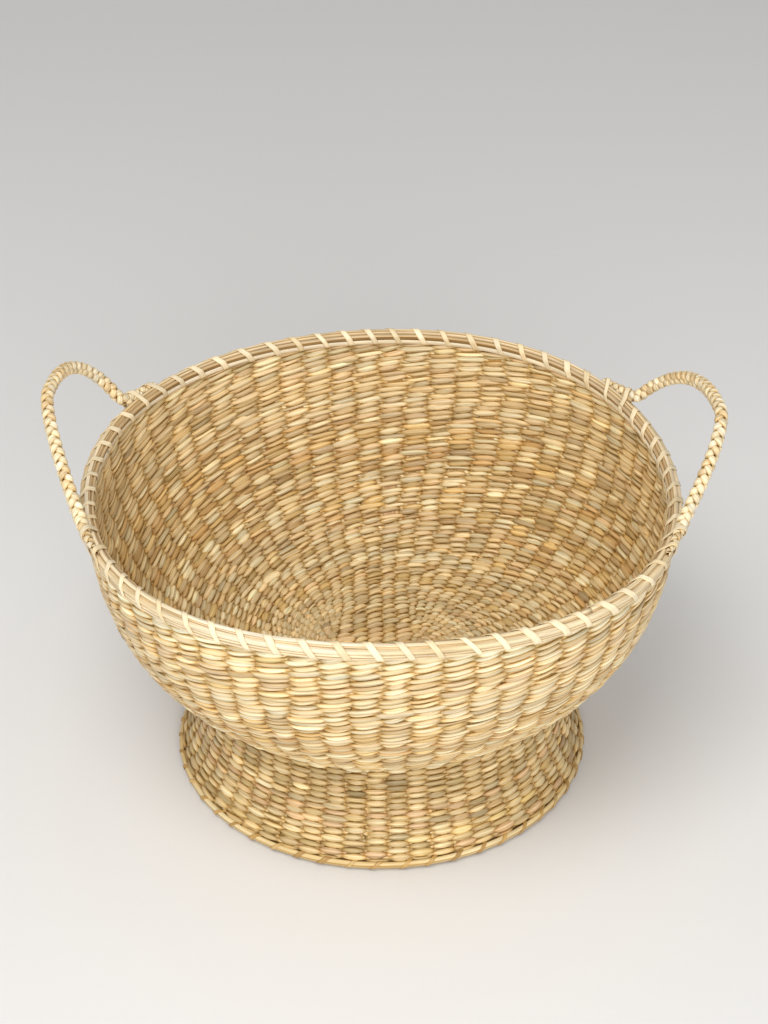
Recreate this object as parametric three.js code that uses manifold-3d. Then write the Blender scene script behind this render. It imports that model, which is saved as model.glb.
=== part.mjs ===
// Woven pedestal bowl: a twined rush bowl on a flared woven foot. Rods are lashed round
// the rim and round the foot's hem, and two braided rope handles stand on the rim.
// Millimetres and degrees, +Z up. The origin is the centre of the foot on the table,
// with the handles to the left (-X) and right (+X).
import * as THREE from "three";
import { mergeVertices } from "three/addons/utils/BufferGeometryUtils.js";
import Module from "manifold-3d";

const wasm = await Module();
wasm.setup();

// Driving dimensions: the bowl
const RIM_RADIUS = 186; // to the middle of the rim's rods
const RIM_HEIGHT = 203.5; // middle of the rim's rods above the table
const BASE_RADIUS = 80; // flat middle of the bowl's base
const BASE_HEIGHT = 64; // middle of the base's thickness above the table
const WEAVE = 5.6; // bowl wall, across both strands and the stake between them
const WALL_INSET = 1; // the wall's middle, inside the rods' middle
const STAKES = 64; // upright stakes, with one wrap of the rim lashing to each
const STAKE_WIDTH = 6;
const STAKE_THICKNESS = 1.6;

// Driving dimensions: how the rim has settled, as hand-woven rims do
const SOFT_SQUARE = 2.9; // four soft corners stand out of the true circle
const SOFT_SQUARE_AT = 50; // direction of the first corner
const SADDLE = 3.4; // front and back stand higher than the sides
const SADDLE_AT = 81; // direction of a high side

// Driving dimensions: rods and lashings
const RIM_ROD = 3.2; // diameter
const RIM_LASH_WIDTH = 4.2;
const RIM_LASH_THICKNESS = 0.8;
const HEM_ROD = 3; // diameter
const HEM_LASH_WIDTH = 3.4;
const HEM_LASH_THICKNESS = 0.7;
const HEM_WRAPS = 50;
const SEAT_GAP = 0.3; // between pieces that touch
const BUTT_GAP = 0.6; // between the two ends of one rod
const LASH_END_GAP = 0.25; // between the two ends of one lashing, in wraps
const WRAP_MARGIN = 1.5; // how far beside a wrap the rope under it counts, in strip widths
const RIM_LAY = 1; // a wrap of the rim slants down to the right, seen from outside
const HEM_LAY = -1; // and one of the hem slants the other way

// Driving dimensions: the foot
const HEM_RADIUS = 132; // to the middle of the hem's rods
const NECK_RADIUS = 112; // where the foot meets the bowl
const FOOT_WEAVE = 5;
const WAIST_OUT = 3; // the foot's curve is steep near the neck
const WAIST_HEIGHT = 26; // and flares below this height

// Driving dimensions: the handles
const ROPE = 8.4; // braided rope, diameter
const TAIL_WRAPS = 1.75; // length of each tail under the lashing, in wraps
const TAIL_END = 3; // diameter that a tail tapers to
const HANDLE_RISE = 56; // from the roots to the crown, along the handle
const HANDLE_LEAN = 35; // outwards from upright
const CROWN_FRONT = 26; // how far the crown's curve is drawn towards the front root
const CROWN_BACK = 76; // and towards the back one
const LEG_START = 0.08; // how soon a leg starts to curve, as a share of its rise
const ROOT_BEND = 7.5; // from a root to where the rope has turned from the rim into its leg
const KNEE = 11; // height of the hinge line above the roots, along the handle
const HANDLE_SWING = 50; // either way from rest
const HANDLES = [
  { side: "left", front: 35, back: 27, crown: 5 }, // roots by stake, and the crown's place between them
  { side: "right", front: -3, back: 5, crown: -18 },
];

// Fineness of the facets
const WALL_STEPS = 9;
const FOOT_STEPS = 4;
const ROD_SIDES = 5;
const ROPE_SIDES = 6;
const LOOP_STEPS = 16;
const TAIL_STEPS = 8;
const BALL_SIDES = 10;
const WRAP_STEPS = 8; // flats of one wrap round its rods
const TAIL_POINTS = 5; // points that a tail's curve is drawn through
const LEG_POINTS = 9; // and a leg's
const HALVINGS = 40; // steps of a search
const SAME_CORNER = 1e-4; // corners this near are one corner

const TURN = 2 * Math.PI;
const UP = new THREE.Vector3(0, 0, 1);
const degrees = THREE.MathUtils.degToRad;
const STAKE_PITCH = TURN / STAKES;

// Finishes
const finish = (color, roughness) => new THREE.MeshStandardMaterial({ color, roughness, metalness: 0 });
const bowlStraw = finish(0xe6c797, 0.75);
const footStraw = finish(0xcdb079, 0.8);
const paleReed = finish(0xecd9b2, 0.6);
const paleStrip = finish(0xf3e6c8, 0.6);
const tanReed = finish(0xd2b27c, 0.65);
const tanStrip = finish(0xc49a5e, 0.65);
const braid = finish(0xf0dfba, 0.7);

// A point of the bowl at a direction, radius and height, moved by the rim's settling.
// The settling grows from nothing above the base to its full amount at the rim.
function settled(angle, radius, height) {
  const share = THREE.MathUtils.smoothstep(height, BASE_HEIGHT + WEAVE, RIM_HEIGHT);
  const out = radius + share * SOFT_SQUARE * Math.cos(4 * (angle - degrees(SOFT_SQUARE_AT)));
  const rise = share * SADDLE * Math.cos(2 * (angle - degrees(SADDLE_AT)));
  return new THREE.Vector3(out * Math.cos(angle), out * Math.sin(angle), height + rise);
}

// A closed solid from a geometry, with its shared corners merged.
function solidOf(geometry) {
  const bare = geometry.clone();
  bare.deleteAttribute("normal");
  bare.deleteAttribute("uv");
  const merged = mergeVertices(bare, SAME_CORNER);
  const corners = Array.from(merged.index.array);
  const triVerts = [];
  for (let i = 0; i < corners.length; i += 3) {
    const [a, b, c] = corners.slice(i, i + 3);
    if (a !== b && b !== c && c !== a) triVerts.push(a, b, c);
  }
  const vertProperties = new Float32Array(merged.attributes.position.array);
  return new wasm.Manifold(new wasm.Mesh({ numProp: 3, vertProperties, triVerts: new Uint32Array(triVerts) }));
}

function geometryOf(solid) {
  const { numProp, vertProperties, triVerts } = solid.getMesh();
  const position = new THREE.InterleavedBuffer(vertProperties, numProp);
  const geometry = new THREE.BufferGeometry();
  geometry.setAttribute("position", new THREE.InterleavedBufferAttribute(position, 3, 0));
  geometry.setIndex(Array.from(triVerts));
  return geometry;
}

// A revolved solid round the bowl's axis, settled with the rim.
function revolved(outline, sides) {
  const geometry = new THREE.LatheGeometry(outline, sides).rotateX(Math.PI / 2);
  const position = geometry.attributes.position;
  for (let i = 0; i < position.count; i += 1) {
    const [x, y, z] = [position.getX(i), position.getY(i), position.getZ(i)];
    const moved = settled(Math.atan2(y, x), Math.hypot(x, y), z);
    position.setXYZ(i, moved.x, moved.y, moved.z);
  }
  return solidOf(geometry);
}

// Rods side by side, as circles in a section across them: out from the axis, and up.
// Pairs of rods hold the stakes between them, and one rod caps the stakes' ends.
function rodSection(rod, pairs, capSide) {
  const beside = STAKE_THICKNESS / 2 + SEAT_GAP + rod / 2;
  const step = rod + SEAT_GAP;
  const r = rod / 2;
  const levels = Array.from({ length: pairs }, (_, i) => (i - (pairs - 1) / 2) * step);
  const capRise = Math.sqrt(step ** 2 - beside ** 2);
  const last = capSide * Math.max(...levels);
  return {
    outer: levels.map((up) => ({ out: beside, up, r })),
    inner: levels.map((up) => ({ out: -beside, up, r })),
    cap: { out: 0, up: last + capSide * capRise, r },
  };
}

const rimSection = rodSection(RIM_ROD, 2, 1);
const rimCircles = [...rimSection.outer, ...rimSection.inner, rimSection.cap];
const hemSection = rodSection(HEM_ROD, 1, -1);
const hemCircles = [...hemSection.outer, ...hemSection.inner, hemSection.cap];

// How far a set of circles reaches in a direction of the section.
function reach(circles, tilt) {
  return Math.max(...circles.map((c) => c.out * Math.cos(tilt) + c.up * Math.sin(tilt) + c.r));
}

const RIM_LASH_DEPTH = SEAT_GAP + RIM_LASH_THICKNESS;
const HEM_LASH_DEPTH = SEAT_GAP + HEM_LASH_THICKNESS;
const HEM_HEIGHT = reach(hemCircles, -Math.PI / 2) + HEM_LASH_DEPTH;
const WALL_TOP = RIM_HEIGHT - reach(rimCircles, -Math.PI / 2) - RIM_LASH_DEPTH - SEAT_GAP;
const STAKE_TOP = RIM_HEIGHT + rimSection.cap.up - RIM_ROD / 2 - SEAT_GAP;
const FOOT_BOTTOM = HEM_HEIGHT + reach(hemCircles, Math.PI / 2) + HEM_LASH_DEPTH + SEAT_GAP;
const FOOT_STAKE_BOTTOM = HEM_HEIGHT + hemSection.cap.up + HEM_ROD / 2 + SEAT_GAP;

// The bowl wall's middle: a quarter ellipse from the flat base up to the rim.
// Gives the point and the way out of the wall at a share of the climb.
function wallAt(share) {
  const [a, b] = [RIM_RADIUS - WALL_INSET - BASE_RADIUS, WALL_TOP - BASE_HEIGHT];
  const tilt = (share * Math.PI) / 2;
  return {
    point: new THREE.Vector2(BASE_RADIUS + a * Math.sin(tilt), WALL_TOP - b * Math.cos(tilt)),
    away: new THREE.Vector2(Math.sin(tilt) / a, -Math.cos(tilt) / b).normalize(),
  };
}

// The share from 0 to 1 up to which a test holds, found by halving.
function lastBelow(test) {
  let [low, high] = [0, 1];
  for (let i = 0; i < HALVINGS; i += 1) {
    const middle = (low + high) / 2;
    if (test(middle)) low = middle;
    else high = middle;
  }
  return low;
}

// The height of the bowl's underside at a radius.
function undersideAt(radius) {
  const { point, away } = wallAt(lastBelow((share) => {
    const wall = wallAt(share);
    return wall.point.x + (wall.away.x * WEAVE) / 2 < radius;
  }));
  return point.y + (away.y * WEAVE) / 2;
}

// Ends of the stakes, which stand out of a woven edge between its rods.
function withStakeEnds(wall, { count, phase, radius, low, high, width }) {
  const pitch = TURN / count;
  const nudge = pitch / 8;
  let joined = wall;
  for (let i = 0; i < count; i += 1) {
    const angle = (i + phase) * pitch;
    const at = (turn) => settled(turn, radius, (low + high) / 2);
    const middle = at(angle);
    const along = at(angle + nudge).sub(at(angle - nudge));
    const end = new THREE.BoxGeometry(width, STAKE_THICKNESS, high - low);
    end.rotateZ(Math.atan2(along.y, along.x)).translate(middle.x, middle.y, middle.z);
    joined = joined.add(solidOf(end));
  }
  return joined;
}

// The woven bowl, with its stakes' ends standing out of the top edge.
function bowlWeave() {
  const shares = Array.from({ length: WALL_STEPS + 1 }, (_, i) => i / WALL_STEPS);
  const skin = (offset) => shares.map((share) => {
    const { point, away } = wallAt(share);
    return point.addScaledVector(away, offset);
  });
  const axis = (offset) => new THREE.Vector2(0, BASE_HEIGHT + offset);
  const outline = [
    axis(-WEAVE / 2), ...skin(WEAVE / 2), ...skin(-WEAVE / 2).reverse(), axis(WEAVE / 2),
  ];
  return withStakeEnds(revolved(outline, STAKES), {
    count: STAKES,
    phase: 0.5,
    radius: RIM_RADIUS,
    low: WALL_TOP - WEAVE / 2,
    high: STAKE_TOP,
    width: STAKE_WIDTH,
  });
}

// The woven foot: steep under the bowl, then flared to the hem, with stakes' ends below.
function footWeave() {
  const neck = new THREE.Vector2(NECK_RADIUS, undersideAt(NECK_RADIUS) - SEAT_GAP);
  const waist = new THREE.Vector2(NECK_RADIUS + WAIST_OUT, WAIST_HEIGHT);
  const hem = new THREE.Vector2(HEM_RADIUS, FOOT_BOTTOM);
  const flare = new THREE.QuadraticBezierCurve(hem, waist, neck);
  const skin = (offset) => Array.from({ length: FOOT_STEPS + 1 }, (_, i) => {
    const share = i / FOOT_STEPS;
    const slope = flare.getTangent(share);
    const away = new THREE.Vector2(slope.y, -slope.x);
    const point = flare.getPoint(share).addScaledVector(away, offset);
    if (i === 0) point.y = FOOT_BOTTOM;
    if (i === FOOT_STEPS) point.y = undersideAt(point.x) - SEAT_GAP;
    return point;
  });
  const outline = [...skin(FOOT_WEAVE / 2), ...skin(-FOOT_WEAVE / 2).reverse()];
  outline.push(outline[0].clone());
  return withStakeEnds(revolved(outline, HEM_WRAPS), {
    count: HEM_WRAPS,
    phase: 0,
    radius: HEM_RADIUS,
    low: FOOT_STAKE_BOTTOM,
    high: FOOT_BOTTOM + FOOT_WEAVE / 2,
    width: STAKE_WIDTH,
  });
}

// A rod bent round the axis, which starts and ends at one direction.
class RodCurve extends THREE.Curve {
  constructor(radius, height, start) {
    super();
    Object.assign(this, { radius, height, start, butt: BUTT_GAP / radius });
  }

  getPoint(t, target = new THREE.Vector3()) {
    const angle = this.start + this.butt / 2 + t * (TURN - this.butt);
    return target.copy(settled(angle, this.radius, this.height));
  }
}

function roundShape(diameter, sides) {
  const corner = (i) => new THREE.Vector2(Math.cos((TURN * i) / sides), Math.sin((TURN * i) / sides));
  return new THREE.Shape(Array.from({ length: sides }, (_, i) => corner(i).multiplyScalar(diameter / 2)));
}

function bentRod(circle, radius, height, start, steps) {
  const extrudePath = new RodCurve(radius + circle.out, height + circle.up, start);
  const shape = roundShape(2 * circle.r, ROD_SIDES);
  return new THREE.ExtrudeGeometry(shape, { steps, extrudePath, bevelEnabled: false });
}

// A tail of rope lies on the upper outer rod and the cap rod, under the lashing, and tapers.
// Gives its place in the rim's section at a share of the way from its root to its end.
function tailPlace(share) {
  const [rod, cap] = [rimSection.outer[1], rimSection.cap];
  const r = THREE.MathUtils.lerp(ROPE, TAIL_END, share) / 2;
  const apart = rod.r + r + SEAT_GAP;
  const between = new THREE.Vector2(cap.out - rod.out, cap.up - rod.up);
  const away = Math.sqrt(apart ** 2 - between.lengthSq() / 4);
  const normal = new THREE.Vector2(between.y, -between.x).normalize();
  return { out: (rod.out + cap.out) / 2 + normal.x * away, up: (rod.up + cap.up) / 2 + normal.y * away, r };
}

const TAIL_ANGLE = TAIL_WRAPS * STAKE_PITCH;

function tailPoint({ start, way }, share) {
  const { out, up } = tailPlace(share);
  return settled(start + way * TAIL_ANGLE * share, RIM_RADIUS + out, RIM_HEIGHT + up);
}

// The two tails of one handle and its frame: a plane through both roots that leans outwards.
function handleFrame({ side, front, back, crown }) {
  const toFront = side === "left" ? 1 : -1;
  const tails = {
    front: { start: front * STAKE_PITCH, way: toFront },
    back: { start: back * STAKE_PITCH, way: -toFront },
  };
  const roots = [tailPoint(tails.front, 0), tailPoint(tails.back, 0)];
  const chord = roots[1].clone().sub(roots[0]);
  const half = chord.length() / 2;
  chord.normalize();
  const middle = roots[0].clone().add(roots[1]).multiplyScalar(0.5);
  const upright = UP.clone().addScaledVector(chord, -chord.z).normalize();
  const outward = side === "left" ? upright.clone().cross(chord) : chord.clone().cross(upright);
  const lean = degrees(HANDLE_LEAN);
  const lift = upright.clone().multiplyScalar(Math.cos(lean)).addScaledVector(outward, Math.sin(lean));
  const at = ({ x, y }) => middle.clone().addScaledVector(chord, x).addScaledVector(lift, y);
  const leg = (way, reachOut) => {
    const root = new THREE.Vector2(way * half, 0);
    const bend = new THREE.Vector2(crown + way * reachOut, HANDLE_RISE);
    const top = new THREE.Vector2(crown, HANDLE_RISE);
    return new THREE.CubicBezierCurve(root, root.clone().lerp(bend, LEG_START), bend, top);
  };
  const legs = { front: leg(-1, CROWN_FRONT), back: leg(1, CROWN_BACK) };
  const kneeOf = (curve) => at(curve.getPoint(lastBelow((t) => curve.getPoint(t).y < KNEE)));
  const knees = [kneeOf(legs.front), kneeOf(legs.back)];
  const centre = knees[0].clone().add(knees[1]).multiplyScalar(0.5);
  return { side, tails, legs, at, knees, centre, chord, lift };
}

const frames = HANDLES.map(handleFrame);
const tails = frames.flatMap((frame) => Object.values(frame.tails));

// The tails that a wrap at this direction passes over, as circles of the rim's section.
function tailsAt(angle) {
  const margin = (WRAP_MARGIN * RIM_LASH_WIDTH) / RIM_RADIUS;
  const found = [];
  for (const { start, way } of tails) {
    const along = THREE.MathUtils.euclideanModulo(way * (angle - start) + TURN / 2, TURN) - TURN / 2;
    if (along < 0 || along > TAIL_ANGLE + margin) continue;
    const share = THREE.MathUtils.clamp(along / TAIL_ANGLE, 0, 1);
    const slack = margin / TAIL_ANGLE;
    for (const near of [share - slack, share, share + slack]) {
      found.push(tailPlace(THREE.MathUtils.clamp(near, 0, 1)));
    }
  }
  return found;
}

// A closed body from rings of corners, with the order in which a ring's corners follow each other.
function closedSweep(positions, around) {
  const sides = around.length;
  const last = positions.length / 3 - sides;
  const faces = [];
  for (let first = 0; first < last; first += sides) {
    for (let j = 0; j < sides; j += 1) {
      const [p, q] = [first + around[j], first + around[(j + 1) % sides]];
      faces.push(p, q, q + sides, p, q + sides, p + sides);
    }
  }
  for (let j = 1; j < sides - 1; j += 1) {
    faces.push(around[0], around[j + 1], around[j]);
    faces.push(last + around[0], last + around[j], last + around[j + 1]);
  }
  const geometry = new THREE.BufferGeometry();
  geometry.setAttribute("position", new THREE.Float32BufferAttribute(positions, 3));
  geometry.setIndex(faces);
  return geometry;
}

// One flat strip wound round its rods in a single unbroken helix. Each wrap goes over the
// top, down the outside, under and up the inside, and is flat on its WRAP_STEPS sides.
// The lay says which way round the axis the wraps follow each other.
function lashing({ wraps, lay, radius, height, width, thickness, circlesAt }) {
  const steps = (wraps - LASH_END_GAP) * WRAP_STEPS;
  const flat = TURN / WRAP_STEPS;
  const positions = [];
  for (let i = 0; i <= steps; i += 1) {
    const angle = lay * (i / WRAP_STEPS) * (TURN / wraps);
    const circles = circlesAt(angle);
    const [before, after] = [Math.PI / 2 - (i + 4) * flat, Math.PI / 2 - (i + 5) * flat];
    for (const lift of [SEAT_GAP, SEAT_GAP + thickness]) {
      const [h1, h2] = [reach(circles, before) + lift, reach(circles, after) + lift];
      const scale = Math.sin(after - before);
      const out = (h1 * Math.sin(after) - h2 * Math.sin(before)) / scale;
      const up = (h2 * Math.cos(before) - h1 * Math.cos(after)) / scale;
      for (const edge of [-0.5, 0.5]) {
        const corner = settled(angle + (edge * width) / radius, radius + out, height + up);
        positions.push(corner.x, corner.y, corner.z);
      }
    }
  }
  return closedSweep(positions, [0, 1, 3, 2]);
}

// The least gap between corners of a strip that lie more than half a wrap apart.
function leastGap(geometry) {
  const position = geometry.attributes.position;
  const corners = Array.from({ length: position.count }, (_, i) => {
    return new THREE.Vector3().fromBufferAttribute(position, i);
  });
  const apart = 4 * (WRAP_STEPS / 2 + 1);
  let least = Infinity;
  corners.forEach((corner, i) => {
    for (let j = i + apart; j < corners.length; j += 1) least = Math.min(least, corner.distanceTo(corners[j]));
  });
  return least;
}

// Half of a handle's rope, as points from the tail's end to the loop's crown. The rope turns
// out of the rim in a bend that starts and ends the same distance from the root.
function halfRope({ tails, legs, at }, end) {
  const [tail, leg] = [tails[end], legs[end]];
  const bendShare = ROOT_BEND / (TAIL_ANGLE * RIM_RADIUS);
  const bendClimb = lastBelow((t) => leg.getPoint(t).distanceTo(leg.v0) < ROOT_BEND);
  const onRim = Array.from({ length: TAIL_POINTS }, (_, i) => {
    return tailPoint(tail, THREE.MathUtils.lerp(1, bendShare, i / (TAIL_POINTS - 1)));
  });
  const onLeg = Array.from({ length: LEG_POINTS }, (_, i) => {
    return at(leg.getPoint(THREE.MathUtils.lerp(bendClimb, 1, i / (LEG_POINTS - 1))));
  });
  const bend = new THREE.QuadraticBezierCurve3(onRim.at(-1), tailPoint(tail, 0), onLeg[0]);
  return [...onRim, bend.getPoint(1 / 3), bend.getPoint(2 / 3), ...onLeg];
}

// A length of a longer curve, from one share of it to another.
class Stretch extends THREE.Curve {
  constructor(whole, from, to) {
    super();
    Object.assign(this, { whole, from, to });
  }

  getPoint(t, target = new THREE.Vector3()) {
    return this.whole.getPointAt(THREE.MathUtils.lerp(this.from, this.to, t), target);
  }
}

// A length of a handle's braided rope as a closed body. The rope tapers along each tail.
function ropeLength(path, from, to, steps) {
  const stretch = new Stretch(path, from, to);
  const { normals, binormals } = stretch.computeFrenetFrames(steps);
  const positions = [];
  for (let i = 0; i <= steps; i += 1) {
    const share = THREE.MathUtils.lerp(from, to, i / steps);
    const toEnd = path.getLength() * Math.min(share, 1 - share);
    const { r } = tailPlace(Math.max(0, 1 - toEnd / (TAIL_ANGLE * RIM_RADIUS)));
    for (let j = 0; j < ROPE_SIDES; j += 1) {
      const turn = (TURN * j) / ROPE_SIDES;
      const corner = path.getPointAt(share).addScaledVector(normals[i], r * Math.cos(turn));
      positions.push(...corner.addScaledVector(binormals[i], r * Math.sin(turn)));
    }
  }
  return solidOf(closedSweep(positions, Array.from({ length: ROPE_SIDES }, (_, j) => j)));
}

const bowl = new THREE.Group();

function place(name, geometry, material, parent = bowl) {
  geometry.computeVertexNormals();
  const mesh = new THREE.Mesh(geometry, material);
  mesh.name = name;
  parent.add(mesh);
}

// A handle in three pieces, which are lengths of one rope: tail, loop, tail. The loop ends in a
// ball at each knee, and each tail in a cup wide enough for the rope at the end of its swing.
function buildHandle(frame) {
  const { side, knees, centre, chord, lift } = frame;
  const path = new THREE.CatmullRomCurve3([
    ...halfRope(frame, "front"), ...halfRope(frame, "back").reverse().slice(1),
  ]);
  const height = (share) => path.getPointAt(share).sub(centre).dot(lift);
  const front = lastBelow((half) => height(half / 2) < 0) / 2;
  const back = 1 - lastBelow((half) => height(1 - half / 2) < 0) / 2;
  const ball = (knee, radius) => {
    return solidOf(new THREE.SphereGeometry(radius, BALL_SIDES, BALL_SIDES / 2).translate(...knee));
  };
  const cup = ROPE / 2 / Math.cos(degrees(HANDLE_SWING) / 2) + SEAT_GAP;
  const loop = ropeLength(path, front, back, LOOP_STEPS)
    .add(ball(knees[0], ROPE / 2))
    .add(ball(knees[1], ROPE / 2));
  const frontTail = ropeLength(path, 0, front, TAIL_STEPS).subtract(ball(knees[0], cup));
  const backTail = ropeLength(path, back, 1, TAIL_STEPS).subtract(ball(knees[1], cup));
  const basis = new THREE.Matrix4().makeBasis(chord, lift.clone().cross(chord), lift).setPosition(centre);
  const swing = new THREE.Group();
  swing.applyMatrix4(basis);
  bowl.add(swing);
  place(`${side}_handle_loop`, geometryOf(loop).applyMatrix4(basis.clone().invert()), braid, swing);
  place(`${side}_handle_front_tail`, geometryOf(frontTail), braid);
  place(`${side}_handle_back_tail`, geometryOf(backTail), braid);
}

// Assembly
place("bowl_weave", geometryOf(bowlWeave()), bowlStraw);
place("foot_weave", geometryOf(footWeave()), footStraw);

const rimRods = {
  rim_rod_outer_lower: rimSection.outer[0],
  rim_rod_outer_upper: rimSection.outer[1],
  rim_rod_inner_lower: rimSection.inner[0],
  rim_rod_inner_upper: rimSection.inner[1],
  rim_rod_cap: rimSection.cap,
};
Object.entries(rimRods).forEach(([name, circle], i, all) => {
  const start = (Math.floor((i * STAKES) / all.length) + 0.5) * STAKE_PITCH;
  place(name, bentRod(circle, RIM_RADIUS, RIM_HEIGHT, start, STAKES), paleReed);
});

const hemRods = {
  hem_rod_outer: hemSection.outer[0],
  hem_rod_inner: hemSection.inner[0],
  hem_rod_cap: hemSection.cap,
};
Object.entries(hemRods).forEach(([name, circle], i, all) => {
  const start = Math.floor((i * HEM_WRAPS) / all.length) * (TURN / HEM_WRAPS);
  place(name, bentRod(circle, HEM_RADIUS, HEM_HEIGHT, start, HEM_WRAPS), tanReed);
});

const rimLashing = lashing({
  wraps: STAKES,
  lay: RIM_LAY,
  radius: RIM_RADIUS,
  height: RIM_HEIGHT,
  width: RIM_LASH_WIDTH,
  thickness: RIM_LASH_THICKNESS,
  circlesAt: (angle) => [...rimCircles, ...tailsAt(angle)],
});
const hemLashing = lashing({
  wraps: HEM_WRAPS,
  lay: HEM_LAY,
  radius: HEM_RADIUS,
  height: HEM_HEIGHT,
  width: HEM_LASH_WIDTH,
  thickness: HEM_LASH_THICKNESS,
  circlesAt: () => hemCircles,
});
console.log(`rim lashing, least gap to itself: ${leastGap(rimLashing).toFixed(2)} mm`);
console.log(`hem lashing, least gap to itself: ${leastGap(hemLashing).toFixed(2)} mm`);
place("rim_lashing", rimLashing, paleStrip);
place("hem_lashing", hemLashing, tanStrip);

frames.forEach(buildHandle);

export default bowl;
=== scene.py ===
"""Woven pedestal bowl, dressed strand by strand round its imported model.

The bowl is twined from pairs of dry rush strands round upright stakes, and its foot is woven over and
under stakes of its own. Reeds are lashed round the rim and the hem, and a braided handle stands at each
side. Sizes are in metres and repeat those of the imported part, in whose frame everything is placed.
"""

from __future__ import annotations

import logging
import math
from collections.abc import Callable
from dataclasses import dataclass, field
from enum import Enum

import bpy
import numpy as np
from mathutils import Matrix, Vector

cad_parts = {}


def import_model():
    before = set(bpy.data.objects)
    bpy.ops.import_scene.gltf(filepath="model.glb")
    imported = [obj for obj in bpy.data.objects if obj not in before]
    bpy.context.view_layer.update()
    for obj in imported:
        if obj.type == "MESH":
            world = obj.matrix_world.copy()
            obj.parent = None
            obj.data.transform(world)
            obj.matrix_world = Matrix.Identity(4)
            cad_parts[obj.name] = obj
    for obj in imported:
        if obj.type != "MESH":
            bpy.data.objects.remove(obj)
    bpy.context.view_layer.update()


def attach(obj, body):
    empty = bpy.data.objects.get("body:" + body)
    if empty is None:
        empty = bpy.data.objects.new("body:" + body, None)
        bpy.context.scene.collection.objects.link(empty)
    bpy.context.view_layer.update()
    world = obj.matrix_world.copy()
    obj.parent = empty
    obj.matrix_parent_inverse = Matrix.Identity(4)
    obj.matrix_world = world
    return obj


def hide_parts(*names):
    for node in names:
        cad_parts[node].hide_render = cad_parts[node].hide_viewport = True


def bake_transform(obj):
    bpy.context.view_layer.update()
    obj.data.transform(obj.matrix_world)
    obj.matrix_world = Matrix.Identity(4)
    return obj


Array = np.ndarray
log = logging.getLogger("woven_bowl")

TURN = 2 * math.pi
QUARTER = math.pi / 2
TINT = "tint"
LAY = "lay"
BAKE_MAP = "OFBake"

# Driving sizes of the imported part
RIM_RADIUS = 0.186
RIM_HEIGHT = 0.2035
HEM_RADIUS = 0.132
STAKES = 64
STAKE_ANGLE = TURN / STAKES

# How red, green and blue fade in the shade between straw strands
BROWNING = np.array([0.75, 1.15, 2.1])
CROSSING_POWER = 3
STAKE_LIGHT = 0.5

# Sections of the woven strands and of the stakes that they go round
WOVEN_CORNERS = 8
WOVEN_ROUNDNESS = 0.8
WOVEN_EDGE_SHADE = 0.52
STAKE_CORNERS = 8
STAKE_ROUNDNESS = 1.3

# How far apart two strands may lie in the noise that makes their fibres
SEED_SPAN = 40.0


class Side(Enum):
    """The two handles, by the side of the bowl that they stand on."""

    LEFT = "left"
    RIGHT = "right"


class Slant(Enum):
    """Which way the wraps of a lashing lean, seen from outside."""

    DOWN_TO_RIGHT = 1
    DOWN_TO_LEFT = -1


def smoothstep(low: float, high: float, value: Array) -> Array:
    """A smooth climb from 0 at low to 1 at high."""
    share = np.clip((value - low) / (high - low), 0.0, 1.0)
    return share * share * (3 - 2 * share)


def unit(vectors: Array) -> Array:
    """Vectors scaled to length 1."""
    return vectors / np.maximum(np.linalg.norm(vectors, axis=-1, keepdims=True), 1e-12)


def linear(red: float, green: float, blue: float) -> Array:
    """A colour of 0 to 255 as the screen shows it, turned into linear light."""
    shown = np.array([red, green, blue]) / 255
    return np.where(shown <= 0.04045, shown / 12.92, ((shown + 0.055) / 1.055) ** 2.4)


def run_along(points: Array) -> Array:
    """How far along a line each of its points is."""
    return np.concatenate([[0.0], np.cumsum(np.linalg.norm(np.diff(points, axis=0), axis=1))])


def fibre_seed(rng: np.random.Generator) -> float:
    """What sets one strand's fibres apart from the next one's."""
    return float(rng.uniform(0, SEED_SPAN))


def outward(angle: Array) -> Array:
    """The level way out from the bowl's axis at directions round it."""
    return np.stack([np.cos(angle), np.sin(angle), np.zeros_like(angle)], axis=-1)


def wall_facing(surface: Callable[[Array, Array], Array], run: Array, turn: Array) -> Array:
    """The way out of a woven wall.

    Args:
        surface: gives the wall's points.
        run: how far along the wall the places are.
        turn: shares of a turn.

    Returns:
        The way out at each place.
    """
    nudge = 2e-4
    around = surface(run, turn + nudge) - surface(run, turn - nudge)
    climb = surface(run + nudge, turn) - surface(run - nudge, turn)
    return unit(np.cross(around, climb))


@dataclass(frozen=True)
class Settling:
    """How the hand-woven rim has settled out of a true, level circle."""

    starts: float = 0.0696
    full: float = RIM_HEIGHT
    soft_square: float = 0.0029
    soft_square_at: float = math.radians(50)
    saddle: float = 0.0034
    saddle_at: float = math.radians(81)

    def place(self, angle: Array, radius: Array, height: Array) -> Array:
        """Points at directions, radii and heights, moved as the bowl has settled.

        Args:
            angle: directions round the axis, in radians.
            radius: distances from the axis.
            height: heights above the table.

        Returns:
            The points, with x, y and z in the last axis.
        """
        share = smoothstep(self.starts, self.full, height)
        out = radius + share * self.soft_square * np.cos(4 * (angle - self.soft_square_at))
        rise = share * self.saddle * np.cos(2 * (angle - self.saddle_at))
        return np.stack([out * np.cos(angle), out * np.sin(angle), height + rise], axis=-1)


@dataclass(frozen=True)
class StrawTint:
    """One colour that a strand may have grown and dried to, and how often it does."""

    red: int
    green: int
    blue: int
    share: float


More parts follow.
